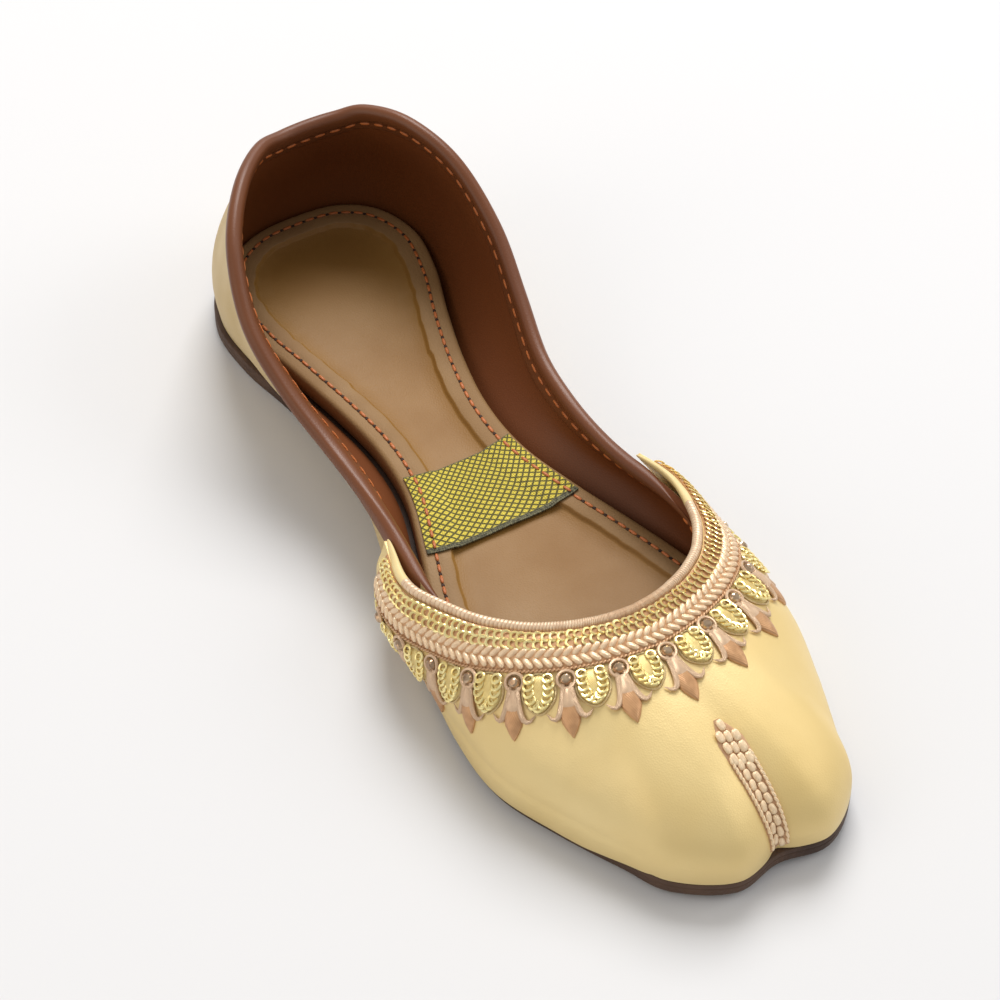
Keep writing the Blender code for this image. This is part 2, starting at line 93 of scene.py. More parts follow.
@dataclass
class Tree:
    """A node tree that is filled by plain calls."""

    tree: bpy.types.NodeTree

    def add(self, kind: str, settings: dict | None = None, **inputs: object) -> bpy.types.Node:
        """Add a node, set its options, and set or link its inputs.

        Args:
            kind: the node's type name.
            settings: options such as operation or data_type.
            inputs: values or sockets by input name, with _ for a blank.

        Returns:
            The new node.
        """
        node = self.tree.nodes.new(kind)
        for key, value in (settings or {}).items():
            setattr(node, key, value)
        for key, value in inputs.items():
            self.put(node.inputs[key.replace("_", " ")], value)
        return node

    def put(self, socket: bpy.types.NodeSocket, value: object) -> None:
        """Link a socket to another, or set its value.

        Args:
            socket: the input to set.
            value: a number, a colour or another socket.
        """
        if isinstance(value, bpy.types.NodeSocket):
            self.tree.links.new(value, socket)
        else:
            socket.default_value = value

    def sum_of(
        self, operation: str, first: object, second: object = 0.0, third: object = 0.0
    ) -> bpy.types.NodeSocket:
        """Work out a number from up to three others.

        Args:
            operation: the sum's name.
            first: first number.
            second: second number.
            third: third number.

        Returns:
            The result's socket.
        """
        node = self.tree.nodes.new("ShaderNodeMath")
        node.operation = operation
        for socket, value in zip(node.inputs, (first, second, third)):
            self.put(socket, value)
        return node.outputs[0]

    def mix(self, share: object, first: object, second: object) -> bpy.types.NodeSocket:
        """Blend two colours by a share.

        Args:
            share: a share from 0 to 1.
            first: first number or colour.
            second: second number or colour.

        Returns:
            The colour's socket.
        """
        node = self.tree.nodes.new("ShaderNodeMix")
        node.data_type = "RGBA"
        for socket, value in zip((node.inputs[0], node.inputs[6], node.inputs[7]), (share, first, second)):
            if isinstance(value, tuple) and len(value) == 3:
                value = (*value, 1.0)
            self.put(socket, value)
        return node.outputs[2]

    def ranged(
        self, value: object, low: float, high: float, to_low: float = 0.0, to_high: float = 1.0
    ) -> bpy.types.NodeSocket:
        """Map a number from one range to another, held inside it.

        Args:
            value: the number to map.
            low: lower end of its range.
            high: upper end of its range.
            to_low: what the lower end becomes.
            to_high: what the upper end becomes.

        Returns:
            The mapped number's socket.
        """
        node = self.add("ShaderNodeMapRange", {"clamp": True}, Value=value, From_Min=low, From_Max=high)
        self.put(node.inputs["To Min"], to_low)
        self.put(node.inputs["To Max"], to_high)
        return node.outputs[0]

    def noise(self, vector: object, scale: object, detail: float, **settings: str) -> bpy.types.Node:
        """Add a noise texture."""
        return self.add("ShaderNodeTexNoise", settings, Vector=vector, Scale=scale, Detail=detail)


def make_group(
    name: str, inputs: dict[str, float | None], outputs: Iterable[str]
) -> tuple[Tree, dict[str, bpy.types.NodeSocket], bpy.types.Node]:
    """Make an empty shader group with named sockets.

    Args:
        name: the group's name.
        inputs: input names with their default numbers, or None for a vector.
        outputs: names of the numbers that it puts out.

    Returns:
        The group's tree, its input sockets by name, and its output node.
    """
    group = bpy.data.node_groups.new(name, "ShaderNodeTree")
    for key, value in inputs.items():
        kind = "NodeSocketVector" if value is None else "NodeSocketFloat"
        socket = group.interface.new_socket(name=key, in_out="INPUT", socket_type=kind)
        if value is not None:
            socket.default_value = value
    for key in outputs:
        group.interface.new_socket(name=key, in_out="OUTPUT", socket_type="NodeSocketFloat")
    start = group.nodes.new("NodeGroupInput")
    end = group.nodes.new("NodeGroupOutput")
    return Tree(group), {socket.name: socket for socket in start.outputs}, end


def grain_group() -> bpy.types.NodeTree:
    """Leather: small cells with creases between them, and a slow change of tone.

    Returns:
        The group.
    """
    if "leather_grain" in bpy.data.node_groups:
        return bpy.data.node_groups["leather_grain"]
    tree, given, end = make_group(
        "leather_grain", {"Vector": None, "Cells": 900.0, "Crinkle": 0.5, "Patch": 60.0}, ("Height", "Tone")
    )
    warp = tree.noise(given["Vector"], given["Patch"], 3.0)
    reach = 0.004
    sway = warp.outputs["Color"]
    offset = tree.add("ShaderNodeVectorMath", {"operation": "SCALE"}, Vector=sway, Scale=reach)
    moved = tree.add("ShaderNodeVectorMath", {"operation": "ADD"})
    tree.put(moved.inputs[0], given["Vector"])
    tree.put(moved.inputs[1], offset.outputs[0])
    cells = tree.add(
        "ShaderNodeTexVoronoi", {"feature": "DISTANCE_TO_EDGE"}, Vector=moved.outputs[0], Scale=given["Cells"]
    )
    pebbles = tree.ranged(cells.outputs["Distance"], 0.0, 0.35)
    coarser = tree.sum_of("MULTIPLY", given["Cells"], 0.22)
    crinkle = tree.noise(moved.outputs[0], coarser, 3.0, noise_type="RIDGED_MULTIFRACTAL")
    creases = tree.sum_of("MULTIPLY", crinkle.outputs[0], given["Crinkle"])
    tree.put(end.inputs["Height"], tree.sum_of("SUBTRACT", pebbles, creases))
    tree.put(end.inputs["Tone"], tree.ranged(warp.outputs[0], 0.3, 0.7))
    return tree.tree


def thread_group() -> bpy.types.NodeTree:
    """Satin thread: fine parallel strands across a piece's own map, with a slow change of tone.

    Returns:
        The group.
    """
    if "satin_strands" in bpy.data.node_groups:
        return bpy.data.node_groups["satin_strands"]
    tree, given, end = make_group(
        "satin_strands", {"Vector": None, "Pitch": 0.0003, "Slant": 0.5}, ("Height", "Tone")
    )
    split = tree.add("ShaderNodeSeparateXYZ", Vector=given["Vector"])
    slid = tree.sum_of("MULTIPLY_ADD", split.outputs[1], given["Slant"], split.outputs[0])
    turns = tree.sum_of("DIVIDE", slid, given["Pitch"])
    strand = tree.sum_of("PINGPONG", turns, 0.5)
    tree.put(end.inputs["Height"], tree.sum_of("POWER", tree.sum_of("MULTIPLY", strand, 2.0), 0.6))
    patch = tree.noise(given["Vector"], 420.0, 2.0)
    tree.put(end.inputs["Tone"], tree.ranged(patch.outputs[0], *TONES))
    return tree.tree


def weave_group() -> bpy.types.NodeTree:
    """Plain weave on a piece's own map: threads that cross each other.

    Returns:
        The group.
    """
    if "plain_weave" in bpy.data.node_groups:
        return bpy.data.node_groups["plain_weave"]
    tree, given, end = make_group("plain_weave", {"Vector": None, "Pitch": 0.0005}, ("Height",))
    split = tree.add("ShaderNodeSeparateXYZ", Vector=given["Vector"])
    waves = []
    for axis in (0, 1):
        turns = tree.sum_of("DIVIDE", split.outputs[axis], given["Pitch"])
        waves.append(tree.sum_of("SINE", tree.sum_of("MULTIPLY", turns, math.pi)))
    crossing = tree.sum_of("MULTIPLY", waves[0], waves[1])
    tree.put(end.inputs["Height"], tree.sum_of("ABSOLUTE", crossing))
    return tree.tree


@dataclass(frozen=True)
class Finish:
    """A surface finish: its two tones, its gloss and the record's slot it belongs to."""

    name: str
    slot: str
    colour: Colour
    second: Colour
    roughness: float = 0.5
    metallic: float = 0.0
    coat: float = 0.0
    sheen: float = 0.0
    specular: float = 0.5
    bump: float = 0.5
    depth: float = 0.0001

    def material(self) -> bpy.types.Material:
        """Make the material once and return it.

        Returns:
            The material.
        """
        if self.name in bpy.data.materials:
            return bpy.data.materials[self.name]
        material = bpy.data.materials.new(self.name)
        material.use_nodes = True
        tree = Tree(material.node_tree)
        shader = material.node_tree.nodes["Principled BSDF"]
        settings = {
            "Roughness": self.roughness,
            "Metallic": self.metallic,
            "Coat Weight": self.coat,
            "Coat Roughness": COAT_ROUGHNESS,
            "Specular IOR Level": self.specular,
            "Sheen Weight": self.sheen,
            "Sheen Roughness": SHEEN_ROUGHNESS,
        }
        for key, value in settings.items():
            shader.inputs[key].default_value = value
        height, tone = self.pattern(tree)
        tree.put(shader.inputs["Base Color"], tree.mix(tone, self.colour, self.second))
        bump = tree.add("ShaderNodeBump", Strength=self.bump, Distance=self.depth, Height=height)
        tree.put(shader.inputs["Normal"], bump.outputs[0])
        self.extras(tree, shader, tone)
        return material

    def pattern(self, tree: Tree) -> tuple[object, object]:
        """Give the height and the share of the second tone over the surface."""
        spots = tree.noise(self.coordinate(tree, "Object"), 300.0, 3.0)
        return spots.outputs[0], tree.ranged(spots.outputs[0], *TONES)

    def extras(self, tree: Tree, shader: bpy.types.Node, tone: object) -> None:
        """Vary the gloss a little with the tone."""
        low, high = self.roughness - 0.05, self.roughness + 0.07
        tree.put(shader.inputs["Roughness"], tree.ranged(tone, 0.0, 1.0, low, high))

    def coordinate(self, tree: Tree, name: str) -> bpy.types.NodeSocket:
        """The socket of a texture coordinate."""
        return tree.add("ShaderNodeTexCoord").outputs[name]


@dataclass(frozen=True)
class Leather(Finish):
    """Grained leather, with the number of its cells to the metre and the depth of its crinkle."""

    cells: float = 900.0
    crinkle: float = 0.5
    patch: float = 60.0

    def pattern(self, tree: Tree) -> tuple[object, object]:
        """Give the grain's height and the leather's tone.

        Args:
            tree: the material's nodes.

        Returns:
            Height and tone.
        """
        grain = tree.add("ShaderNodeGroup", {"node_tree": grain_group()})
        tree.put(grain.inputs["Vector"], self.coordinate(tree, "Object"))
        for key, value in (("Cells", self.cells), ("Crinkle", self.crinkle), ("Patch", self.patch)):
            grain.inputs[key].default_value = value
        return grain.outputs["Height"], grain.outputs["Tone"]


@dataclass(frozen=True)
class Thread(Finish):
    """Embroidery thread, with the pitch and slant of its strands on the piece's own map."""

    pitch: float = 0.0003
    slant: float = 0.5

    def pattern(self, tree: Tree) -> tuple[object, object]:
        """Give the strands' height and the thread's tone: painted shade in the grooves between strands, with
        a slow random change of tone.

        Args:
            tree: the material's nodes.

        Returns:
            Height and tone.
        """
        strands = tree.add("ShaderNodeGroup", {"node_tree": thread_group()})
        tree.put(strands.inputs["Vector"], self.coordinate(tree, "UV"))
        strands.inputs["Pitch"].default_value = self.pitch
        strands.inputs["Slant"].default_value = self.slant
        # painted shade: where the strands are low, in the grooves between them, the thread takes its darker
        # second tone
        dark = tree.ranged(strands.outputs["Height"], 0.0, 0.55, 1.0, 0.0)
        tone = tree.sum_of("MAXIMUM", dark, tree.sum_of("MULTIPLY", strands.outputs["Tone"], 0.4))
        return strands.outputs["Height"], tone


@dataclass(frozen=True)
class Cloth(Finish):
    """Woven cloth, with the pitch of its threads on the piece's own map."""

    pitch: float = 0.0005

    def pattern(self, tree: Tree) -> tuple[object, object]:
        """Give the weave's height and the cloth's tone.

        Args:
            tree: the material's nodes.

        Returns:
            Height and tone.
        """
        weave = tree.add("ShaderNodeGroup", {"node_tree": weave_group()})
        tree.put(weave.inputs["Vector"], self.coordinate(tree, "UV"))
        weave.inputs["Pitch"].default_value = self.pitch
        spots = tree.noise(self.coordinate(tree, "Object"), 35.0, 2.0)
        return weave.outputs["Height"], tree.ranged(spots.outputs[0], *TONES)


@dataclass(frozen=True)
class Lattice(Cloth):
    """A woven ribbon with dark diamond lines and darker selvedges at its two long edges."""

    diamond: float = 0.0019
    line: float = 0.19
    lean: float = 0.66
    strength: float = 0.9
    edge: Colour = (0.1, 0.1, 0.1)
    rim: tuple[Colour, Colour] = (srgb(112, 108, 78), srgb(66, 64, 46))
    selvedge: float = 0.0016
    width: float = 0.025

    def extras(self, tree: Tree, shader: bpy.types.Node, tone: object) -> None:
        """Draw the diamonds and the selvedges into the colour.

        Args:
            tree: the material's nodes.
            shader: the material's shader.
            tone: share of the second tone.
        """
        split = tree.add("ShaderNodeSeparateXYZ", Vector=self.coordinate(tree, "UV"))
        across, along = split.outputs[0], split.outputs[1]
        masks = []
        for lean in (-self.lean, self.lean):
            slid = tree.sum_of("MULTIPLY_ADD", across, lean, along)
            turns = tree.sum_of("PINGPONG", tree.sum_of("DIVIDE", slid, self.diamond), 0.5)
            masks.append(tree.ranged(turns, self.line * 0.5, self.line * 1.2, 1.0, 0.0))
        lines = tree.sum_of("MULTIPLY", tree.sum_of("MAXIMUM", masks[0], masks[1]), self.strength)
        ground = tree.mix(tone, self.colour, self.second)
        drawn = tree.mix(lines, ground, self.edge)
        front = tree.sum_of("SUBTRACT", self.width, along)
        back = tree.sum_of("ADD", along, self.selvedge * 0.7)
        near = tree.sum_of("MINIMUM", front, back)
        rim = tree.ranged(near, self.selvedge * 0.75, self.selvedge, 1.0, 0.0)
        speck = tree.noise(self.coordinate(tree, "UV"), 1400.0, 1.0)
        green = tree.mix(tree.ranged(speck.outputs[0], 0.4, 0.6), *self.rim)
        tree.put(shader.inputs["Base Color"], tree.mix(rim, drawn, green))


class Finishes(Enum):
    """The finishes of this shoe."""

    SOLE = Leather(
        "sole_leather", "outsole", srgb(92, 66, 48), srgb(62, 42, 30), 0.62, depth=0.00015, cells=500.0
    )
    FOOTBED = Leather(
        "footbed_leather", "insole", srgb(152, 112, 54), srgb(138, 97, 42), specular=0.35, bump=0.25,
        cells=1300.0, patch=26.0,
    )
    BORDER = Leather(
        "footbed_border", "insole", srgb(158, 124, 82), srgb(142, 108, 68), 0.6, specular=0.3, bump=0.35,
        cells=1100.0, patch=40.0,
    )
    LINING = Leather(
        "lining_leather", "upper", srgb(118, 66, 32), srgb(108, 58, 27), specular=0.3, bump=0.2,
        cells=1300.0, patch=26.0,
    )
    ROLL = Leather(
        "roll_leather", "collar_binding", srgb(116, 68, 38), srgb(104, 58, 31), 0.42, coat=0.05,
        specular=0.35, bump=0.2, cells=1300.0, patch=26.0,
    )
    VAMP = Leather(
        "champagne_leather", "vamp_cover", srgb(238, 214, 154), srgb(228, 200, 134), 0.44, metallic=0.3,
        coat=0.06, bump=0.2, cells=1500.0, patch=24.0,
    )
    QUARTER = Cloth(
        "quarter_cloth", "upper", srgb(204, 178, 124), srgb(188, 160, 102), metallic=0.2, sheen=0.1,
        pitch=0.0004,
    )
    RIBBON = Lattice(
        "label_cloth", "label_ribbon", srgb(234, 214, 80), srgb(210, 190, 62), 0.65, sheen=0.1, bump=0.8,
        depth=0.0002, pitch=0.0006, edge=srgb(44, 44, 18),
    )
    # Its strands' pitch and slant follow the piping's wrapped ridges, so the painted shade of the thread's
    # grooves falls between those ridges
    WRAP = Thread(
        "wrap_thread", "throat_piping", srgb(238, 212, 180), srgb(184, 138, 100), 0.4, metallic=0.25,
        pitch=0.0008, slant=0.098,
    )
    PLAIN_ROLL = Leather(
        "piping_leather", "throat_piping", srgb(236, 214, 158), srgb(222, 196, 134), 0.45, bump=0.2
    )
    BRAID = Thread("braid_thread", "throat_braid", srgb(252, 228, 192), srgb(216, 168, 128), 0.3, 0.4)
    BED = Thread("bed_thread", "throat_braid", srgb(216, 170, 126), srgb(158, 110, 72), 0.45, 0.3)
    CORD = Thread("cord_thread", "throat_braid", srgb(214, 172, 130), srgb(150, 104, 70), 0.42, 0.35)
    GOLD_THREAD = Thread(
        "gold_thread", "throat_braid", srgb(232, 210, 142), srgb(196, 166, 98), 0.38, 0.4, pitch=0.0004
    )
    PALE_THREAD = Thread(
        "pale_thread", "throat_braid", srgb(232, 202, 168), srgb(180, 136, 104), 0.34, 0.35
    )
    LEAF_EDGE = Thread(
        "leaf_edge_thread", "throat_braid", srgb(240, 220, 170), srgb(206, 172, 118), 0.4, 0.3
    )
    BUD_THREAD = Thread(
        "bud_thread", "throat_braid", srgb(216, 168, 122), srgb(152, 102, 62), 0.34, 0.4, pitch=0.0005
    )
    SEQUIN = Finish("sequin_gold", "throat_braid", srgb(255, 240, 176), srgb(248, 224, 146), 0.2, 0.65)
    STONE = Finish(
        "smoky_stone", "throat_braid", srgb(216, 188, 152), srgb(150, 116, 86), 0.1, 0.8, 1.0, bump=0.0
    )
    SEAM_BED = Thread("seam_bed_thread", "toe_seam", srgb(218, 176, 136), srgb(164, 118, 84), 0.5, 0.2)
    SEAM = Thread("seam_thread", "toe_seam", srgb(255, 232, 194), srgb(228, 186, 146), 0.36, 0.25)
    STITCH = Thread("orange_stitch", "insole", srgb(204, 116, 56), srgb(150, 78, 34), pitch=0.0005)
    # Painted shade: dark marks that stand for the shadow inside the needle holes between the stitches
    HOLE = Finish("prick_hole_shade", "insole", srgb(66, 38, 22), srgb(48, 26, 14), 0.8)

    def on(self, piece: bpy.types.Object) -> None:
        """Give a piece this finish as its only material.

        Args:
            piece: the piece.
        """
        piece.data.materials.clear()
        piece.data.materials.append(self.value.material())


# The last


@dataclass(frozen=True)
class Section:
    """One cross-section of the last, read off its stations."""

    sole_s: float
    sole_x: float
    in_s: float
    in_x: float
    top_s: float
    top_x: float
    top_z: float
    square: float
    slope: float
    belly: float


@dataclass
class Last:
    """The form that the shoe is built on, in the sizes of its frame."""

    length: float = 0.2525
    ball_width: float = 0.0850
    heel_height: float = 0.0530
    side_height: float = 0.0232
    throat_height: float = 0.0350
    bow: float = 0.0051
    heel_swing: float = 0.0025
    toe_swing: float = 0.0018
    collar_lean: float = 0.0040
    lean_reach: float = 0.130
    cleft_depth: float = 0.0016
    cleft_width: float = 0.0060
    valley_depth: float = 0.0015
    valley_width: float = 0.0150
    valley_reach: float = 0.62
    sole_thickness: float = 0.0045
    toe_spring: float = 0.0020
    arch_rise: float = 0.0012
    arch: tuple[float, float] = (0.24, 0.60)
    spring_start: float = 0.74
    gap: float = 0.0003
    wall: float = 0.0020
    cover_ease: float = 0.0004
    cover_thickness: float = 0.0010
    splay: tuple[float, float] = (0.0038, 0.0024)
    splay_centre: float = 10.5
    splay_spread: float = 0.9
    splay_rise: float = 1.6
    ears: tuple[float, float] = (10.0, 9.5)
    shift: Vector = field(default_factory=Vector)
    known: dict[float, Section] = field(default_factory=dict)

    # sole_s, sole_x, top_s, top_x, heel, side, throat, square, slope and belly of each station
    STATIONS = (
        (0.0000, 0.000, 0.036, 0.000, 0.88, 0.00, 0.00, 1.0, 0.00, 0.070),
        (0.0080, 0.353, 0.040, 0.200, 0.89, 0.00, 0.00, 1.0, 0.00, 0.080),
        (0.0420, 0.635, 0.058, 0.400, 0.94, 0.00, 0.00, 1.0, 0.00, 0.100),
        (0.1030, 0.788, 0.109, 0.618, 0.98, 0.00, 0.00, 1.0, 0.00, 0.105),
        (0.1710, 0.762, 0.175, 0.807, 0.84, 0.16, 0.00, 1.0, 0.00, 0.110),
        (0.2390, 0.655, 0.247, 0.896, 0.50, 0.50, 0.00, 1.0, 0.00, 0.085),
        (0.3100, 0.555, 0.322, 0.850, 0.21, 0.79, 0.00, 1.0, 0.00, 0.065),
        (0.3820, 0.492, 0.390, 0.776, 0.03, 0.97, 0.00, 1.0, 0.00, 0.055),
        (0.4490, 0.512, 0.449, 0.748, 0.00, 1.00, 0.00, 1.0, 0.00, 0.065),
        (0.5170, 0.635, 0.505, 0.745, 0.00, 0.97, 0.03, 1.0, 0.00, 0.095),
        (0.5840, 0.776, 0.561, 0.766, 0.00, 0.88, 0.12, 1.1, 0.05, 0.128),
        (0.6520, 0.894, 0.624, 0.812, 0.00, 0.68, 0.32, 1.3, 0.12, 0.098),
        (0.7280, 0.988, 0.680, 0.757, 0.00, 0.41, 0.59, 1.7, 0.20, 0.050),
        (0.7950, 1.000, 0.720, 0.607, 0.00, 0.18, 0.82, 2.1, 0.28, 0.030),
        (0.8610, 0.871, 0.743, 0.433, 0.00, 0.06, 0.94, 2.4, 0.33, 0.015),
        (0.9220, 0.718, 0.755, 0.270, 0.00, 0.02, 0.98, 2.7, 0.36, 0.000),
        (0.9660, 0.600, 0.760, 0.165, 0.00, 0.00, 1.00, 2.9, 0.38, 0.000),
        (0.9990, 0.306, 0.762, 0.078, 0.00, 0.00, 1.00, 3.0, 0.40, 0.000),
        (0.9915, 0.000, 0.763, 0.000, 0.00, 0.00, 1.00, 3.0, 0.40, 0.000),
    )
    END = len(STATIONS) - 1
    ODD = (1, 3)

    def __post_init__(self) -> None:
        """Find the shift from the last's own place to the frame's, off the outsole."""
        low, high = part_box("outsole")
        edge = [
            self.place(*self.outline(index / 20.0, side), 0.0)
            for index in range(self.END * 20 + 1)
            for side in (-1, 1)
        ]
        across = [point.x for point in edge]
        along = [point.y for point in edge]
        middle = Vector(((min(across) + max(across)) / 2.0, (min(along) + max(along)) / 2.0, 0.0))
        self.shift = Vector(((low[0] + high[0]) / 2.0, (low[1] + high[1]) / 2.0, 0.0)) - middle
        LOG.info("shift from the last to the frame: %s", self.shift)

    def knot(self, index: int, column: int) -> float:
        """A column's value at a whole station, mirrored past both ends.

        Args:
            index: the station.
            column: column of the table.

        Returns:
            The value.
        """
        mirrored = index < 0 or index > self.END
        row = self.STATIONS[-index if index < 0 else min(index, 2 * self.END - index)]
        return -row[column] if mirrored and column in self.ODD else row[column]

    def value(self, column: int, position: float) -> float:
        """Read a column at a position, on a smooth curve through the stations.

        Args:
            column: column of the table.
            position: place along the stations.

        Returns:
            The value.
        """
        start = min(int(position), self.END - 1)
        t = position - start
        before, first, second, after = (self.knot(start + step, column) for step in (-1, 0, 1, 2))
        slope_first = (second - before) / 2.0
        slope_second = (after - first) / 2.0
        return (
            first * (1.0 + 2.0 * t) * (1.0 - t) ** 2
            + slope_first * t * (1.0 - t) ** 2
            + second * t * t * (3.0 - 2.0 * t)
            + slope_second * t * t * (t - 1.0)
        )

    def place(self, s: float, x: float, z: float) -> Vector:
        """Turn a length, a half width and a height into a point of the frame.

        Args:
            s: length from the heel.
            x: distance beside the middle line.
            z: height.

        Returns:
            The point.
        """
        share = held(s / self.length)
        swing = self.heel_swing * (1.0 - share) ** 3 + self.toe_swing * share ** 4
        middle = swing - self.bow * math.sin(math.pi * share)
        return Vector((x + middle, self.length / 2.0 - s, z)) + self.shift

    def sole_top(self, s: float) -> float:
        """Height of the outsole's upper face.

        Args:
            s: length from the heel.

        Returns:
            The height.
        """
        share = s / self.length
        start, stop = self.arch
        rise = held((share - start) / (stop - start))
        spring = max(0.0, (share - self.spring_start) / (1.0 - self.spring_start))
        lift = self.arch_rise * math.sin(math.pi * rise) ** 2 + self.toe_spring * spring ** 2
        return self.sole_thickness + lift

    def section(self, position: float) -> Section:
        """Read the cross-section at a position, and keep it for the next call.

        Args:
            position: place along the stations.

        Returns:
            The cross-section.
        """
        if position in self.known:
            return self.known[position]
        half = self.ball_width / 2.0
        step = 0.02
        behind, ahead = held(position - step, 0.0, self.END), held(position + step, 0.0, self.END)
        along_s = (self.value(0, ahead) - self.value(0, behind)) * self.length
        along_x = (self.value(1, ahead) - self.value(1, behind)) * half
        size = math.hypot(along_s, along_x)
        heights = (self.heel_height, self.side_height, self.throat_height)
        found = Section(
            sole_s=self.value(0, position) * self.length,
            sole_x=self.value(1, position) * half,
            in_s=along_x / size,
            in_x=-along_s / size,
            top_s=self.value(2, position) * self.length,
            top_x=self.value(3, position) * half,
            top_z=sum(self.value(4 + index, position) * height for index, height in enumerate(heights)),
            square=self.value(7, position),
            slope=self.value(8, position),
            belly=self.value(9, position) * half,
        )
        self.known[position] = found
        return found

    def outline(self, position: float, side: float, inset: float = 0.0) -> tuple[float, float]:
        """A point of the outsole's outline as (s, x), moved inwards by an inset."""
        cut = self.section(position)
        return cut.sole_s + cut.in_s * inset, side * max(cut.sole_x + cut.in_x * inset, 0.0)

    def surface(self, side: float, position: float, t: float) -> Vector:
        """A point on the upper's outer surface.

        Args:
            side: 1.0 right, -1.0 left.
            position: place along the stations.
            t: row on the upper.

        Returns:
            The point.
        """
        cut = self.section(position)
        inset = self.cover_thickness + self.cover_ease
        rise = t ** (cut.square / 2.0)
        fall = (1.0 - t) ** (cut.square / 2.0)
        angle = math.pi / 2.0 * rise / (rise + fall)
        inwards = 1.0 - math.cos(angle) ** (2.0 / cut.square) if t < 1.0 else 1.0
        upwards = math.sin(angle) ** (2.0 / cut.square)
        start_s, start_x = self.outline(position, 1.0, inset)
        swell = cut.belly * math.sin(math.pi * t ** 0.8)
        outer_s, outer_x = self.outline(position, 1.0, inset - swell)
        base = self.sole_top(start_s) + self.gap
        s = outer_s + (cut.top_s - start_s) * inwards
        x = outer_x + (cut.top_x - start_x) * inwards
        z = base + (cut.top_z - base) * ((1.0 - cut.slope) * upwards + cut.slope * inwards)
        lean = self.collar_lean * math.exp(-((cut.top_s / self.length / self.lean_reach) ** 2)) * inwards
        if position > self.END / 2:
            s -= self.hollow(self.cleft_depth, self.cleft_width, x) * (1.0 - t)
            reach = math.sin(math.pi * min(1.0, t / self.valley_reach))
            z -= self.hollow(self.valley_depth, self.valley_width, x) * reach
        return self.place(s, side * x + lean, z)

    @staticmethod
    def hollow(depth: float, width: float, x: float) -> float:
        """Depth of a soft hollow along the middle line, at a distance to its side."""
        return depth * math.exp(-((2.0 * x / width) ** 2))

    def normal(self, side: float, position: float, t: float) -> Vector:
        """The outward direction of the upper's outer surface.

        Args:
            side: 1.0 right, -1.0 left.
            position: place along the stations.
            t: row on the upper.

        Returns:
            The direction.
        """
        step = 0.01
        above, below = min(t + step, 1.0), max(t - step, 0.0)
        up = self.surface(side, position, above) - self.surface(side, position, below)
        if position < step:
            along = self.surface(side, step, t) - self.surface(-side, step, t)
        elif position + step > self.END:
            along = self.surface(-side, self.END - step, t) - self.surface(side, self.END - step, t)
        else:
            along = self.surface(side, position + step, t) - self.surface(side, position - step, t)
        return (up.cross(along) * side).normalized()

    def layer(self, side: float, position: float, t: float, offset: float) -> Vector:
        """A point at an offset from the upper's outer surface, never below the outsole's top.

        Args:
            side: 1.0 right, -1.0 left.
            position: place along the stations.
            t: row on the upper.
            offset: distance outwards.

        Returns:
            The point.
        """
        point = self.surface(side, position, t) + self.normal(side, position, t) * offset
        s = self.length / 2.0 - (point.y - self.shift.y)
        point.z = max(point.z, self.sole_top(s) + self.gap)
        return point

    def cover(self, side: float, position: float, t: float, offset: float) -> Vector:
        """A point on the vamp cover, which splays off the upper near its free rear corners.

        Args:
            side: 1.0 right, -1.0 left.
            position: place along the stations.
            t: row on the upper.
            offset: distance outwards.

        Returns:
            The point.
        """
        near = math.exp(-((position - self.splay_centre) / self.splay_spread) ** 2)
        reach = self.splay[int(side > 0.0)] * near
        share = math.sin(math.pi / 2.0 * min(1.0, t * self.splay_rise))
        return self.layer(side, position, t, offset) + Vector((side * reach * share, 0.0, 0.0))

    def outside(self, side: float, position: float, t: float, rise: float = 0.0) -> Vector:
        """A point at a height above the vamp cover's outer face."""
        return self.cover(side, position, t, self.cover_ease + self.cover_thickness + rise)

    def row_at(self, side: float, position: float, distance: float, steps: int = 48) -> float:
        """The row of a column that lies at a distance from the topline, along the surface.

        Args:
            side: 1.0 right, -1.0 left.
            position: place along the stations.
            distance: distance below the topline.
            steps: steps down the column.

        Returns:
            The row.
        """
        gone = 0.0
        previous = self.surface(side, position, 1.0)
        for index in range(1, steps + 1):
            t = 1.0 - index / steps
            point = self.surface(side, position, t)
            step = (point - previous).length
            if gone + step >= distance:
                return t + (1.0 - (distance - gone) / step) / steps
            gone += step
            previous = point
        return 0.0

    def column_length(self, side: float, position: float) -> float:
        """Length of a column from the topline to the sole."""
        points = [self.surface(side, position, index / 24.0) for index in range(25)]
        return sum((second - first).length for first, second in zip(points, points[1:]))

    def ring(self, share: float) -> tuple[float, float]:
        """Side and position once round the shoe: right side to the toe, then back on the left.

        Args:
            share: share of the way round.

        Returns:
            Side and position.
        """
        if share <= 0.5:
            return 1.0, share * 2.0 * self.END
        return -1.0, (1.0 - share) * 2.0 * self.END

    def front(self, share: float) -> tuple[float, float]:
        """Side and position from the right ear (0) round the toe to the left ear (1).

        Args:
            share: share of the way round.

        Returns:
            Side and position.
        """
        right, left = self.ears
        gone = share * (2.0 * self.END - right - left)
        if gone <= self.END - right:
            return 1.0, right + gone
        return -1.0, max(2.0 * self.END - right - gone, left)

    def back(self, share: float, stop: float) -> tuple[float, float]:
        """Side and position from the right side at a station round the heel to the left side."""
        gone = (share * 2.0 - 1.0) * stop
        return (1.0, -gone) if gone < 0.0 else (-1.0, gone)


# Modelling


def deselect() -> None:
    """Leave nothing selected."""
    bpy.ops.object.select_all(action="DESELECT")


def pick(piece: bpy.types.Object) -> None:
    """Make one piece the only selected and the active one.

    Args:
        piece: the piece.
    """
    deselect()
    piece.select_set(True)
    bpy.context.view_layer.objects.active = piece


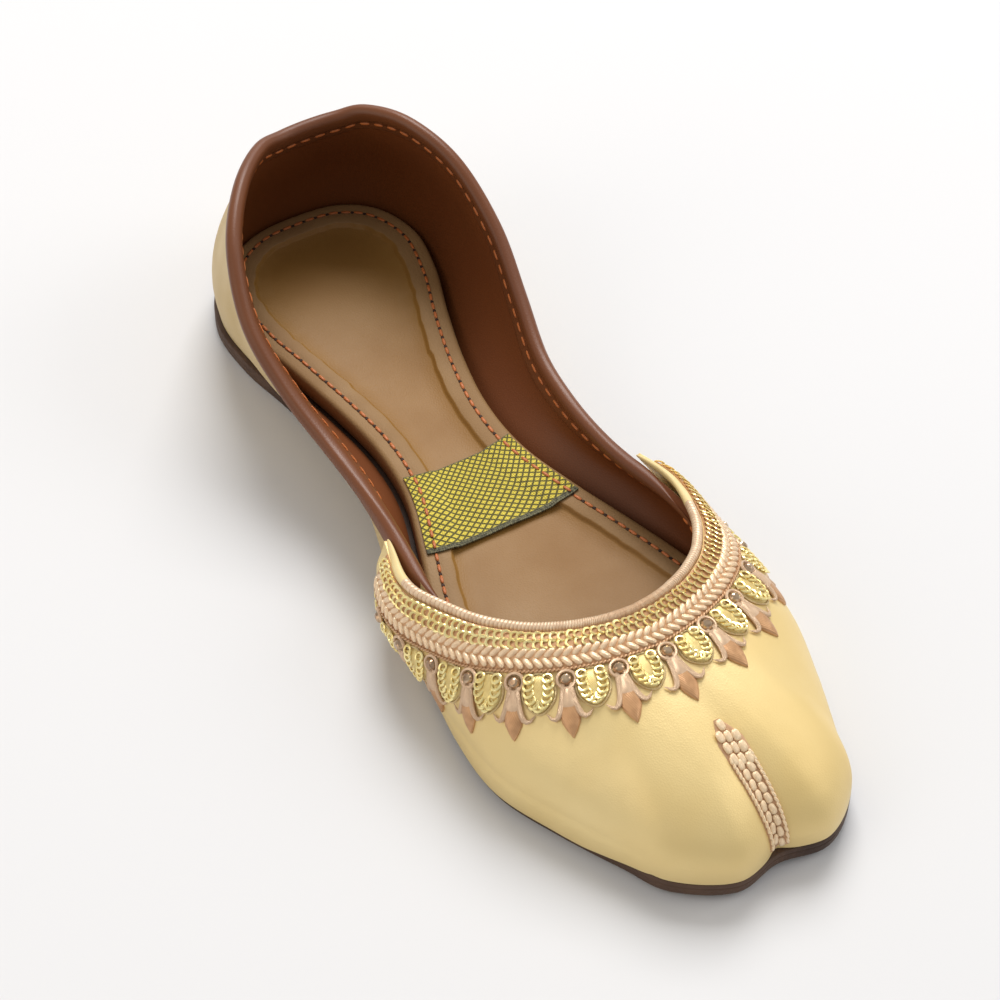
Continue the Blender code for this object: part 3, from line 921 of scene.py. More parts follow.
def edit(piece: bpy.types.Object, *steps: Callable[[], object]) -> None:
    """Run edit-mode operators on all of a piece.

    Args:
        piece: the piece.
        steps: what is done, in order.
    """
    pick(piece)
    bpy.ops.object.mode_set(mode="EDIT")
    bpy.ops.mesh.select_all(action="SELECT")
    for step in steps:
        step()
    bpy.ops.object.mode_set(mode="OBJECT")


def modify(piece: bpy.types.Object, kind: str, **settings: object) -> None:
    """Add a modifier to a piece and apply it.

    Args:
        piece: the piece.
        kind: the modifier's type.
        settings: its settings.
    """
    pick(piece)
    modifier = piece.modifiers.new(kind.lower(), kind)
    for key, value in settings.items():
        setattr(modifier, key, value)
    bpy.ops.object.modifier_apply(modifier=modifier.name)


def grid_piece(
    name: str, columns: int, rows: int, place: Place, size: tuple[float, float]
) -> bpy.types.Object:
    """Model a sheet: add a grid and lay each of its points by a function.

    Args:
        name: the piece's name.
        columns: faces along the sheet.
        rows: faces across it.
        place: gives the point at two shares, along and across.
        size: the sheet's size, which its map is scaled to.

    Returns:
        The piece, with its doubled points merged.
    """
    deselect()
    bpy.ops.mesh.primitive_grid_add(x_subdivisions=columns, y_subdivisions=rows, size=1.0, calc_uvs=True)
    piece = bpy.context.object
    piece.name = piece.data.name = name
    for vertex in piece.data.vertices:
        vertex.co = place(vertex.co.x + 0.5, vertex.co.y + 0.5)
    for corner in piece.data.uv_layers.active.data:
        corner.uv = (corner.uv[0] * size[0], corner.uv[1] * size[1])
    edit(piece, lambda: bpy.ops.mesh.remove_doubles(threshold=0.00001), bpy.ops.mesh.flip_normals)
    piece.data.shade_smooth()
    return piece


def face_out(piece: bpy.types.Object) -> None:
    """Turn the faces of a closed piece outwards."""
    edit(piece, lambda: bpy.ops.mesh.normals_make_consistent(inside=False))


def settle(piece: bpy.types.Object, finish: Finishes, *nodes: str, angle: float = 50.0) -> bpy.types.Object:
    """Dress a piece, let it ride on the body and hide the frame's nodes that it replaces.

    Args:
        piece: the piece.
        finish: the finish.
        nodes: the frame's nodes that it replaces.
        angle: faces that meet under it, in degrees, are smooth.

    Returns:
        The piece.
    """
    finish.on(piece)
    pick(piece)
    bpy.ops.object.shade_smooth_by_angle(angle=math.radians(angle))
    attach(piece, "root")
    if nodes:
        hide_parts(*nodes)
    LOG.info("%s: %d faces", piece.name, len(piece.data.polygons))
    return piece


@dataclass
class Template:
    """A small thing modelled once: its points, faces and map."""

    points: list[Vector]
    faces: list[tuple[int, ...]]
    corners: list[tuple[float, float]]

    @classmethod
    def of(cls, piece: bpy.types.Object) -> "Template":
        """Take a template from a modelled piece and remove the piece.

        Args:
            piece: the piece.

        Returns:
            The template.
        """
        mesh = piece.data
        made = cls(
            [vertex.co.copy() for vertex in mesh.vertices],
            [tuple(face.vertices) for face in mesh.polygons],
            [tuple(corner.uv) for corner in mesh.uv_layers.active.data],
        )
        bpy.data.objects.remove(piece, do_unlink=True)
        return made

    def shaped(self, shape: Callable[[Vector], Vector]) -> "Template":
        """A copy with each point moved by a function."""
        return Template([shape(point) for point in self.points], self.faces, self.corners)

    def mapped_flat(self) -> "Template":
        """A copy mapped straight from above, in its own size."""
        corners = [(self.points[index].x, self.points[index].y) for face in self.faces for index in face]
        return Template(self.points, self.faces, corners)

    def joined(self, other: "Template") -> "Template":
        """A copy with another template added.

        Args:
            other: the template that is added.

        Returns:
            The joined template.
        """
        start = len(self.points)
        faces = self.faces + [tuple(index + start for index in face) for face in other.faces]
        return Template(self.points + other.points, faces, self.corners + other.corners)


@dataclass(frozen=True)
class Spot:
    """Where a copy of a template goes: a point, the ways across and down there, and its size."""

    at: Vector
    across: Vector
    down: Vector
    scale: float = 1.0

    @classmethod
    def on_line(cls, point: Vector, along: Vector, normal: Vector) -> "Spot":
        """A spot whose way across runs along a line on a surface."""
        down = normal.cross(along).normalized()
        return cls(point, down.cross(normal).normalized(), down)

    def moved(self, x: float, y: float, turn: float = 0.0, scale: float = 1.0) -> "Spot":
        """A spot beside this one, in its own directions, turned by an angle.

        Args:
            x: way across from the spot.
            y: way down from the spot.
            turn: angle that it is turned by.
            scale: its size, 1.0 as modelled.

        Returns:
            The new spot.
        """
        cosine, sine = math.cos(turn), math.sin(turn)
        at = self.at + (self.across * x + self.down * y) * self.scale
        across = self.across * cosine + self.down * sine
        down = self.down * cosine - self.across * sine
        return Spot(at, across, down, self.scale * scale)


@dataclass
class Skin:
    """A surface that small things are sewn on."""

    tree: BVHTree

    @classmethod
    def of(cls, piece: bpy.types.Object) -> "Skin":
        """Make a skin from a sheet whose faces point outwards."""
        points = [vertex.co.copy() for vertex in piece.data.vertices]
        return cls(BVHTree.FromPolygons(points, [tuple(face.vertices) for face in piece.data.polygons]))

    def press(self, point: Vector, lift: float) -> Vector:
        """The point at a height above the place on the skin nearest to a given one."""
        found, normal, _, _ = self.tree.find_nearest(point)
        return found + normal * lift

    def out(self, point: Vector, along: Vector) -> Vector:
        """The skin's outward side at a point of a line on it."""
        _, normal, _, _ = self.tree.find_nearest(point)
        return normal


def scatter(
    name: str, template: Template, spots: list[Spot], skin: Skin | None, lift: float = 0.0
) -> bpy.types.Object:
    """Make one mesh of many copies of a template, each bent onto the skin at its spot.

    Args:
        name: the piece's name.
        template: what is copied.
        spots: where each copy goes.
        skin: the surface they lie on, or None where each lies flat on its own spot.
        lift: height of the template's floor above the skin.

    Returns:
        The joined piece.
    """
    points, faces, corners = [], [], []
    for spot in spots:
        start = len(points)
        out = spot.across.cross(spot.down)
        for local in template.points:
            flat = spot.at + (spot.across * local.x + spot.down * local.y) * spot.scale
            height = lift + local.z * spot.scale
            points.append(skin.press(flat, height) if skin else flat + out * height)
        faces += [tuple(start + index for index in face) for face in template.faces]
        corners += template.corners
    mesh = bpy.data.meshes.new(name)
    mesh.from_pydata(points, [], faces)
    layer = mesh.uv_layers.new(name="UVMap")
    for corner, at in zip(layer.data, corners):
        corner.uv = at
    piece = bpy.data.objects.new(name, mesh)
    bpy.context.scene.collection.objects.link(piece)
    return piece


def ball(segments: int, rings: int, radius: float = 1.0) -> bpy.types.Object:
    """Add a ball at the origin, to be shaped into a template.

    Args:
        segments: faces round.
        rings: faces along.
        radius: its radius.

    Returns:
        The ball.
    """
    deselect()
    bpy.ops.mesh.primitive_uv_sphere_add(segments=segments, ring_count=rings, radius=radius)
    return bpy.context.object


def capsule(length: float, width: float, height: float, segments: int = 8, rings: int = 6) -> Template:
    """A padded stitch that lies along X, with its strands mapped along it.

    Args:
        length: its length.
        width: its width.
        height: its height.
        segments: faces round.
        rings: faces along.

    Returns:
        The stitch.
    """
    piece = ball(segments, rings, 0.5)
    centre = (0.0, 0.0, 0.0)
    edit(
        piece,
        lambda: bpy.ops.transform.rotate(value=math.pi / 2.0, orient_axis="Y", center_override=centre),
        lambda: bpy.ops.transform.resize(value=(length, width, height)),
    )
    made = Template.of(piece)
    corners = [(u * width * 3.0, v * length) for u, v in made.corners]
    return Template([fuller(point, length) for point in made.points], made.faces, corners)


def fuller(point: Vector, length: float) -> Vector:
    """Fill out a long stitch, so that it keeps its width nearly to its ends.

    Args:
        point: a point of the stitch.
        length: the stitch's length.

    Returns:
        The moved point.
    """
    share = min(abs(point.x) / (length / 2.0), 1.0)
    gain = math.sqrt(max(1.0 - share ** 4, 0.0)) / max(math.sqrt(1.0 - share ** 2), 0.35)
    return Vector((point.x, point.y * gain, point.z * gain))


def hoop(radius: float, thick: float, flat: float = 1.0, major: int = 14, minor: int = 6) -> Template:
    """A ring that lies on XY.

    Args:
        radius: its radius.
        thick: radius of its wire.
        flat: height as a share of the wire's.
        major: faces round the ring.
        minor: faces round the wire.

    Returns:
        The ring.
    """
    deselect()
    counts = {"major_segments": major, "minor_segments": minor}
    bpy.ops.mesh.primitive_torus_add(major_radius=radius, minor_radius=thick, generate_uvs=True, **counts)
    piece = bpy.context.object
    edit(piece, lambda: bpy.ops.transform.resize(value=(1.0, 1.0, flat)))
    made = Template.of(piece)
    around, across = 2.0 * math.pi * radius, 2.0 * math.pi * thick
    return Template(made.points, made.faces, [(u * around, v * across) for u, v in made.corners])


def travelled(path: list[Vector]) -> list[float]:
    """The distance along a path to each of its points.

    Args:
        path: closely spaced points.

    Returns:
        The distances.
    """
    lengths = [0.0]
    for first, second in zip(path, path[1:]):
        lengths.append(lengths[-1] + (second - first).length)
    return lengths


def spots_along(
    path: list[Vector], pitch: float, out: Callable[[Vector, Vector], Vector], phase: float = 0.0
) -> list[Spot]:
    """Evenly spaced spots along a path, with their outward side given by a function.

    Args:
        path: closely spaced points.
        pitch: distance between spots.
        out: gives the outward direction from a point and the way along.
        phase: share of a pitch before the first spot.

    Returns:
        The spots, whose way across runs along the path.
    """
    lengths = travelled(path)
    count = max(1, round(lengths[-1] / pitch))
    spots = []
    index = 0
    for number in range(count):
        target = lengths[-1] * (number + phase) / count
        while lengths[index + 1] < target:
            index += 1
        share = (target - lengths[index]) / (lengths[index + 1] - lengths[index])
        point = path[index].lerp(path[index + 1], share)
        along = (path[index + 1] - path[index]).normalized()
        spots.append(Spot.on_line(point, along, out(point, along)))
    return spots


# The pieces


@dataclass
class Sole:
    """The leather outsole and the padded footbed with its stitching."""

    last: Last
    columns: int = 288
    map_size: tuple[float, float] = (0.56, 0.08)
    edge_round: float = 0.0007
    score_height: float = 0.62
    score_half: float = 0.0003
    score_depth: float = 0.00025
    footbed_inset: float = 0.0040
    footbed_toe_ease: float = 0.0030
    footbed_thickness: float = 0.0065
    footbed_round: float = 0.0014
    border: float = 0.0080
    dish: float = 0.0013
    step: float = 0.0013
    rag: float = 0.0006
    rag_scale: float = 260.0
    groove_half: float = 0.0008
    groove_depth: float = 0.00022
    stitch_inset: float = 0.0041
    stitch_pitch: float = 0.0036
    stitch: tuple[float, float, float] = (0.0027, 0.00085, 0.0006)
    stitch_lift: float = 0.0001
    ribbon_lift: float = 0.0007
    # size of the dark marks of painted shade at the needle holes
    hole: tuple[float, float, float] = (0.0010, 0.0009, 0.0003)
    hole_lift: float = -0.00002
    spine_heel: float = 0.36
    spine_toe: float = 0.30

    def slab(
        self, name: str, profile: list[tuple[float, float]], floor: float, footbed: bool
    ) -> bpy.types.Object:
        """Model a flat piece from a profile led round its outline and closed on its spine.

        Args:
            name: the piece's name.
            profile: pairs of inset and height; an inset of 1 stands for the spine.
            floor: height of the profile's floor above the outsole's upper face.
            footbed: whether the outline is the footbed's or the outsole's.

        Returns:
            The piece.
        """

        def place(u: float, v: float) -> Vector:
            """Lay a point of the profile at a share round the outline.

            Args:
                u: share along.
                v: share across.

            Returns:
                The point.
            """
            side, position = self.last.ring(u)
            s, x = self.footbed_edge(side, position) if footbed else self.last.outline(position, side)
            inset, level = profile[round(v * (len(profile) - 1))]
            if footbed and self.border <= inset <= self.border + self.step:
                inset += noise.noise(Vector((s, side * x, 0.0)) * self.rag_scale) * self.rag
            s, x = self.inwards(s, x, inset)
            return self.last.place(s, x, self.last.sole_top(s) + floor + level)

        piece = grid_piece(name, self.columns, len(profile) - 1, place, self.map_size)
        face_out(piece)
        return piece

    def inwards(self, s: float, x: float, inset: float) -> tuple[float, float]:
        """Move a point of an outline towards the spine, at most onto it.

        Args:
            s: length from the heel.
            x: distance beside the middle line.
            inset: how far it moves.

        Returns:
            The moved point.
        """
        heel = self.last.ball_width * self.spine_heel
        toe = self.last.length - self.last.ball_width * self.spine_toe
        spine = held(s, heel, toe)
        share = min(inset / math.hypot(spine - s, x), 1.0)
        return s + (spine - s) * share, x * (1.0 - share)

    def footbed_edge(self, side: float, position: float) -> tuple[float, float]:
        """The footbed's outline, clear of the upper's inner wall."""
        toe = max(0.0, 1.0 - (self.last.END - position) / 5.0)
        return self.last.outline(position, side, self.footbed_inset + self.footbed_toe_ease * toe ** 2)

    def footbed_top(self, s: float) -> float:
        """Height of the footbed's stitched border."""
        return self.last.sole_top(s) + self.last.gap + self.footbed_thickness

    def outsole(self) -> None:
        """The outsole, with its edge slightly rounded and scored once round."""
        edge, top = self.edge_round, self.last.sole_thickness
        soft, score = edge * 0.3, top * self.score_height
        profile = [(1.0, 0.0), (0.012, 0.0), (0.004, 0.0), (edge, 0.0), (soft, soft), (0.0, edge)]
        profile += [(0.0, score - self.score_half), (self.score_depth, score), (0.0, score + self.score_half)]
        profile += [(0.0, top - edge), (soft, top - soft), (edge, top), (0.006, top), (1.0, top)]
        settle(self.slab("sole_slab", profile, -top, False), Finishes.SOLE, "outsole", angle=35.0)

    def footbed(self) -> None:
        """The footbed: a rounded edge, a stitched border with a crease inside it, and a soft dish."""
        top, edge, groove = self.footbed_thickness, self.footbed_round, self.stitch_inset
        profile = [(1.0, 0.0), (edge, 0.0), (0.0, edge), (0.0, top - edge)]
        for angle in map(math.radians, (22.5, 45.0, 67.5, 90.0)):
            profile.append((edge * (1.0 - math.cos(angle)), top - edge * (1.0 - math.sin(angle))))
        profile.append((groove - self.groove_half, top))
        profile.append((groove, top - self.groove_depth))
        profile.append((groove + self.groove_half, top))
        for share in (0.0, 0.2, 0.4, 0.6, 0.8, 1.0):
            profile.append((self.border + self.step * share, top - self.dish * smooth(share)))
        profile += [(inset, top - self.dish) for inset in (0.014, 0.022, 0.030, 1.0)]
        # The border's own finish covers the rows from the rounded edge to the step down into the dish
        first_row, last_row = 2.5, profile.index((self.border, top)) + 1.5
        piece = self.slab("footbed", profile, self.last.gap, True)
        settle(piece, Finishes.FOOTBED, "insole", angle=60.0)
        piece.data.materials.append(Finishes.BORDER.value.material())
        layer = piece.data.uv_layers.active.data
        for face in piece.data.polygons:
            height = sum(layer[index].uv[1] for index in face.loop_indices) / len(face.loop_indices)
            row = height / self.map_size[1] * (len(profile) - 1)
            face.material_index = int(first_row < row < last_row)

    def stitch_spots(self, phase: float = 0.0) -> list[Spot]:
        """Spots along the footbed's stitch line, the first at a share of a pitch.

        Args:
            phase: share of a pitch before the first spot.

        Returns:
            The spots.
        """
        steps = 900
        path = []
        for index in range(steps + 1):
            s, x = self.inwards(*self.footbed_edge(*self.last.ring(index / steps)), self.stitch_inset)
            path.append(self.last.place(s, x, self.footbed_top(s)))
        return spots_along(path, self.stitch_pitch, lambda point, along: RISE, phase)

    def build(self) -> None:
        """Make the outsole, the footbed, its stitches, and dark marks of painted shade for their pricked
        holes.
        """
        self.outsole()
        self.footbed()
        stitch = capsule(*self.stitch)
        spots = self.stitch_spots()
        plain = [spot for spot in spots if not in_ribbon(spot.at)]
        settle(scatter("footbed_stitches", stitch, plain, None, self.stitch_lift), Finishes.STITCH)
        raised = [spot for spot in spots if in_ribbon(spot.at)]
        lift = self.ribbon_lift + self.stitch_lift
        settle(scatter("ribbon_stitches", stitch, raised, None, lift), Finishes.STITCH)
        # painted shade: a flat dark mark sunk into the footbed at each needle hole between the stitches
        holes = [spot for spot in self.stitch_spots(0.5) if not in_ribbon(spot.at)]
        settle(scatter("footbed_hole_shade", capsule(*self.hole), holes, None, self.hole_lift), Finishes.HOLE)


def in_ribbon(point: Vector) -> bool:
    """Whether a point lies within the ribbon's length, clear of its hems.

    Args:
        point: a point.

    Returns:
        True within the ribbon.
    """
    low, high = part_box("label_ribbon")
    front_hem, rear_hem = 0.0012, 0.0004
    return low[1] + front_hem < point.y < high[1] - rear_hem


@dataclass
class Upper:
    """The quarters with their lining, and the rolled collar with its stitching."""

    last: Last
    row_power: float = 1.8
    roll_thickness: float = 0.0010
    roll_gap: float = 0.4
    outer_leg: float = 0.0035
    inner_leg: float = 0.0060
    roll_fade: tuple[float, float] = (10.2, 11.4)
    stitch_stop: float = 12.5
    edge_stop: float = 10.6
    heel_lift: float = 0.0016
    heel_reach: float = 3.4
    flare_depth: float = 0.0014
    flare_place: tuple[float, float] = (7.0, 3.9)
    flare_limit: float = 1.6
    stitch_drop: float = 0.0033
    stitch_seat: float = 0.42
    sight_rise: float = 0.0200
    sight_ends: tuple[float, float] = (0.04, 0.035)
    stitch_pitch: float = 0.0044
    stitch: tuple[float, float, float] = (0.0031, 0.0009, 0.0007)
    edge_pitch: float = 0.0026
    edge_stitch: tuple[float, float, float] = (0.0026 * 0.62, 0.0006, 0.0005)
    edge_lift: float = 0.0002

    def shell(self) -> bpy.types.Object:
        """The upper: cloth outside and brown lining inside, as one hollow wall.

        Returns:
            The wall.
        """

        def place(u: float, v: float) -> Vector:
            """Lay a point of the wall, with its rows drawn together towards the topline."""
            return self.last.layer(*self.last.ring(u), 1.0 - (1.0 - v) ** self.row_power, 0.0)

        piece = grid_piece("quarters", 216, 32, place, (0.56, 0.04))
        Finishes.QUARTER.on(piece)
        piece.data.materials.append(Finishes.LINING.value.material())
        lined = {"material_offset": 1, "material_offset_rim": 1}
        modify(piece, "SOLIDIFY", thickness=self.last.wall, offset=-1.0, use_even_offset=True, **lined)
        pick(piece)
        bpy.ops.object.shade_smooth_by_angle(angle=math.radians(50.0))
        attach(piece, "root")
        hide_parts("upper")
        LOG.info("%s: %d faces", piece.name, len(piece.data.polygons))
        return piece

    def roll_section(self) -> list[tuple[float, float]]:
        """The roll's section: pairs of drop below the topline and offset from the outer surface.

        Returns:
            The pairs, in order.
        """
        wall, thick = self.last.wall, self.roll_thickness
        gap = self.last.gap * self.roll_gap
        inner = -wall - gap
        return [
            (self.outer_leg, gap), (self.outer_leg, gap + thick * 0.6), (0.0027, gap + thick * 0.95),
            (0.0013, gap + thick), (0.0003, gap + thick * 0.9), (-0.0006, gap + thick * 0.5),
            (-0.0011, -0.0003), (-0.0013, -wall / 2.0), (-0.0011, -wall + 0.0003),
            (-0.0006, inner - thick * 0.5), (0.0003, inner - thick * 0.92), (0.0010, inner - thick * 0.95),
            (0.0017, inner - thick * 0.75), (0.0023, inner - thick * 0.45), (0.0029, inner - thick * 0.22),
            (0.0037, inner - thick * 0.3), (0.0048, inner - thick * 0.3),
            (self.inner_leg, inner - thick * 0.15), (self.inner_leg, inner), (0.0022, inner),
            (-0.0003, -wall / 2.0), (0.0022, gap),
        ]

    def roll_point(self, side: float, position: float, turn: int) -> Vector:
        """A point round the collar roll's section, from its outer leg over the rim and back.

        Args:
            side: 1.0 right, -1.0 left.
            position: place along the stations.
            turn: number of the point in the section.

        Returns:
            The point.
        """
        section = self.roll_section()
        drop, offset = section[turn % len(section)]
        inner = -self.last.wall - self.last.gap * self.roll_gap
        start, stop = self.roll_fade
        fade = smooth(held((position - start) / (stop - start)))
        if offset > inner:
            offset += (inner * 0.9 - offset) * fade
        elif drop < self.inner_leg:
            offset -= self.flare(side, position) * min(drop / self.stitch_drop, self.flare_limit)
        lift = max(-drop, 0.0) * (1.0 - 0.8 * fade)
        if drop <= 0.0003:
            lift += self.heel_lift * math.exp(-((position / self.heel_reach) ** 2))
        t = self.last.row_at(side, position, max(drop, 0.0))
        point = self.last.layer(side, position, t, offset)
        if lift > 0.0:
            below = self.last.surface(side, position, self.last.row_at(side, position, 0.002))
            point += (self.last.surface(side, position, 1.0) - below).normalized() * lift
        return point

    def flare(self, side: float, position: float) -> float:
        """How far the roll's inner leg turns inwards at the left of the waist, showing its stitches."""
        middle, reach = self.flare_place
        return self.flare_depth * math.exp(-(((position - middle) / reach) ** 4)) if side < 0.0 else 0.0

    def collar(self) -> bpy.types.Object:
        """The brown leather roll round the topline, thinned to a lining edge under the vamp.

        Returns:
            The roll.
        """
        rounds = len(self.roll_section())

        def place(u: float, v: float) -> Vector:
            """Lay a point of the section at a share round the topline."""
            return self.roll_point(*self.last.ring(u), round(v * rounds))

        piece = grid_piece("collar_roll", 260, rounds, place, (0.52, 0.014))
        face_out(piece)
        modify(piece, "SUBSURF", levels=1, render_levels=1)
        return settle(piece, Finishes.ROLL, "collar_binding", angle=80.0)

    def stitches(self, walls: tuple[Skin, ...]) -> None:
        """The stitch line under the rim inside, and the small one outside where the roll ends.

        Args:
            walls: the lining and the roll.
        """
        inner, outer = [], []
        steps = 600
        for index in range(steps + 1):
            side, position = self.last.back(index / steps, self.stitch_stop)
            drop = self.last.row_at(side, position, self.stitch_drop)
            depth = self.last.wall + self.roll_thickness * self.stitch_seat + self.flare(side, position)
            inner.append(self.seen_inside(walls, self.last.layer(side, position, drop, -depth)))
            side, position = self.last.back(index / steps, self.edge_stop)
            edge = self.last.row_at(side, position, self.outer_leg + 0.0003)
            outer.append(self.last.layer(side, position, edge, self.edge_lift))

        def inwards(point: Vector, along: Vector) -> Vector:
            """The level way from a point of the topline into the shoe."""
            across = along.cross(RISE)
            return across if across.dot(self.axis(point) - point) > 0.0 else -across

        def outwards(point: Vector, along: Vector) -> Vector:
            """The level way out of the shoe."""
            return -inwards(point, along)

        spots = spots_along(inner, self.stitch_pitch, inwards)
        settle(scatter("collar_stitches", capsule(*self.stitch), spots, None), Finishes.STITCH)
        spots = spots_along(outer, self.edge_pitch, outwards)
        settle(scatter("collar_edge_stitches", capsule(*self.edge_stitch), spots, None), Finishes.CORD)

    def seen_inside(self, walls: tuple[Skin, ...], point: Vector) -> Vector:
        """The place on the walls that is seen towards a point from above the shoe's middle line.

        Args:
            walls: the lining and the roll.
            point: a point.

        Returns:
            The place, or the point itself if nothing near is hit.
        """
        start = self.axis(point) + RISE * self.sight_rise
        hits = [wall.tree.ray_cast(start, (point - start).normalized())[0] for wall in walls]
        near = [hit for hit in hits if hit and (hit - point).length < self.inner_leg]
        return min(near, key=lambda hit: (hit - start).length) if near else point

    def axis(self, point: Vector) -> Vector:
        """The place on the shoe's middle line that faces a point of the wall.

        Args:
            point: a point.

        Returns:
            The place.
        """
        low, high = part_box("insole")
        y = held(point.y, low[1] + self.sight_ends[0], high[1] - self.sight_ends[1])
        return Vector((self.last.place(self.last.length / 2.0 - y, 0.0, 0.0).x, y, point.z))

    def build(self) -> None:
        """Make the quarters, the collar roll and its stitching."""
        walls = (Skin.of(self.shell()), Skin.of(self.collar()))
        self.stitches(walls)


@dataclass
class Crease:
    """A soft trough (or a ridge, if its depth is negative) between two places of the vamp."""

    start: tuple[float, float]
    stop: tuple[float, float]
    width: float
    depth: float

    def at(self, across: float, down: float) -> float:
        """Depth at a place given by its way across the toe and its distance from the throat.

        Args:
            across: way across the toe.
            down: distance below the throat.

        Returns:
            The depth.
        """
        ax, ay = self.start
        bx, by = self.stop
        length = (bx - ax) ** 2 + (by - ay) ** 2
        share = held(((across - ax) * (bx - ax) + (down - ay) * (by - ay)) / length)
        distance = math.hypot(across - ax - (bx - ax) * share, down - ay - (by - ay) * share)
        fall = math.exp(-((distance / self.width) ** 2))
        return self.depth * fall * math.sin(math.pi * (0.15 + 0.7 * share))


@dataclass
class Vamp:
    """The champagne vamp with its rolled throat edge."""

    last: Last
    piping: float = 0.0026
    piping_length: float = 0.157
    wrap_pitch: float = 0.0008
    wrap_depth: float = 0.00026
    wrapped: tuple[float, float] = (0.10, 0.93)
    wrap_fade: float = 0.03
    hem_reach: float = 0.04
    hem_drop: float = 0.45
    hem_tuck: float = 0.18
    hem_flat: float = 0.25
    hem_tall: float = 0.45
    end_reach: float = 0.055
    hang_range: tuple[float, float] = (9.2, 15.6)
    hang_fade: float = 1.2
    hang_row: float = 0.14
    hang_out: float = 0.0010
    hang_down: float = 0.0019
    crinkle: float = 0.00005
    fine_scale: float = 260.0
    broad_scale: float = 70.0
    creases: tuple[Crease, ...] = (
        Crease((-0.027, 0.028), (-0.019, 0.050), 0.0080, 0.00025),
        Crease((0.023, 0.030), (0.025, 0.050), 0.0080, 0.00022),
        Crease((-0.012, 0.034), (-0.015, 0.052), 0.0090, -0.0002),
        Crease((0.012, 0.036), (0.013, 0.052), 0.0080, -0.0002),
    )

    def ripple(self, point: Vector, down: float) -> float:
        """Small relief of the skin: listed creases and a fine crinkle.

        Args:
            point: a point.
            down: distance below the throat.

        Returns:
            The height.
        """
        depth = sum(crease.at(point.x, down) for crease in self.creases)
        fine = noise.fractal(point * self.fine_scale, 0.6, 2.0, 3) * self.crinkle
        broad = noise.noise(point * self.broad_scale) * self.crinkle * 1.5
        return fine + broad - depth

    def outer(self, u: float, v: float) -> Vector:
        """A point of the vamp's outer face.

        Args:
            u: share along.
            v: share across.

        Returns:
            The point.
        """
        side, position = self.last.front(u)
        point = self.last.outside(side, position, v)
        fade = min(1.0, v * 6.0, (1.0 - v) * 4.0)
        down = (1.0 - v) * 0.06
        point = self.last.outside(side, position, v, self.ripple(point, down) * fade)
        return point + self.overhang(side, position, v)

    def overhang(self, side: float, position: float, v: float) -> Vector:
        """How far the skin's lower border hangs out and down over the side of the sole.

        Args:
            side: 1.0 right, -1.0 left.
            position: place along the stations.
            v: row on the vamp.

        Returns:
            The shift.
        """
        start, stop = self.hang_range
        along = held((position - start) / self.hang_fade) * held((stop - position) / self.hang_fade)
        share = max(1.0 - v / self.hang_row, 0.0) * along
        out = self.last.normal(side, position, 0.05)
        level = Vector((out.x, out.y, 0.0)).normalized()
        return level * (self.hang_out * math.sqrt(share)) - RISE * (self.hang_down * share)

    def skin(self) -> Skin:
        """Model the vamp and give the skin that the embroidery is sewn on.

        Returns:
            The skin.
        """
        piece = grid_piece("vamp_skin", 260, 54, self.outer, (0.30, 0.05))
        skin = Skin.of(piece)
        modify(piece, "SOLIDIFY", thickness=self.last.cover_thickness, offset=-1.0, use_even_offset=True)
        modify(piece, "BEVEL", width=0.0003, segments=2, limit_method="ANGLE", angle_limit=math.radians(60.0))
        settle(piece, Finishes.VAMP, "vamp_cover")
        return skin

    def piping_point(self, side: float, position: float, turn: float, swell: float, hem: float) -> Vector:
        """A point round the piping's section.

        Args:
            side: 1.0 right, -1.0 left.
            position: place along the stations.
            turn: angle round the section.
            swell: share by which the section is thicker.
            hem: share by which the round section has become a folded hem.

        Returns:
            The point.
        """
        outer = self.last.outside(side, position, 1.0)
        inner = self.last.cover(side, position, 1.0, self.last.cover_ease)
        t = self.last.row_at(side, position, self.piping)
        up = (inner - self.last.cover(side, position, t, self.last.cover_ease)).normalized()
        out = (outer - inner).normalized()
        radius = self.piping / 2.0 * (1.0 + swell)
        centre = (outer + inner) / 2.0 + up * (self.piping / 2.0 - self.piping * self.hem_drop * hem)
        centre -= out * (self.piping * self.hem_tuck * hem)
        across, tall = radius * (1.0 - self.hem_flat * hem), radius * (1.0 + self.hem_tall * hem)
        return centre + out * (math.cos(turn) * across) + up * (math.sin(turn) * tall)

    def throat_piping(self) -> None:
        """The rolled edge round the throat, wrapped in fine slanted thread but for its ends."""
        start, stop = self.wrapped

        def place(u: float, v: float) -> Vector:
            """Lay a point of the section at a share along the throat.

            Args:
                u: share along.
                v: share across.

            Returns:
                The point.
            """
            side, position = self.last.front(u)
            wrapped = held((u - start) / self.wrap_fade) * held((stop - u) / self.wrap_fade)
            phase = u * self.piping_length / self.wrap_pitch + v
            ridge = abs(math.sin(math.pi * phase)) ** 0.6
            end = math.sqrt(max(1.0 - (1.0 - min(min(u, 1.0 - u) / self.end_reach, 1.0)) ** 2, 0.0))
            swell = (ridge - 0.7) * self.wrap_depth / (self.piping / 2.0) * wrapped - (1.0 - end)
            round_share = held((u - start) / self.hem_reach + 1.0) * held((stop - u) / self.hem_reach + 1.0)
            return self.piping_point(side, position, 2.0 * math.pi * v, swell, 1.0 - round_share)

        piece = grid_piece("throat_roll", 1100, 12, place, (self.piping_length, self.piping * math.pi))
        face_out(piece)
        settle(piece, Finishes.WRAP, "throat_piping", angle=80.0)
        piece.data.materials.append(Finishes.PLAIN_ROLL.value.material())
        layer = piece.data.uv_layers.active.data
        for face in piece.data.polygons:
            share = layer[face.loop_indices[0]].uv[0] / self.piping_length
            face.material_index = int(not start < share < stop)

    def build(self) -> Skin:
        """Make the vamp and its throat piping, and give the skin for the embroidery.

        Returns:
            The skin.
        """
        skin = self.skin()
        self.throat_piping()
        return skin


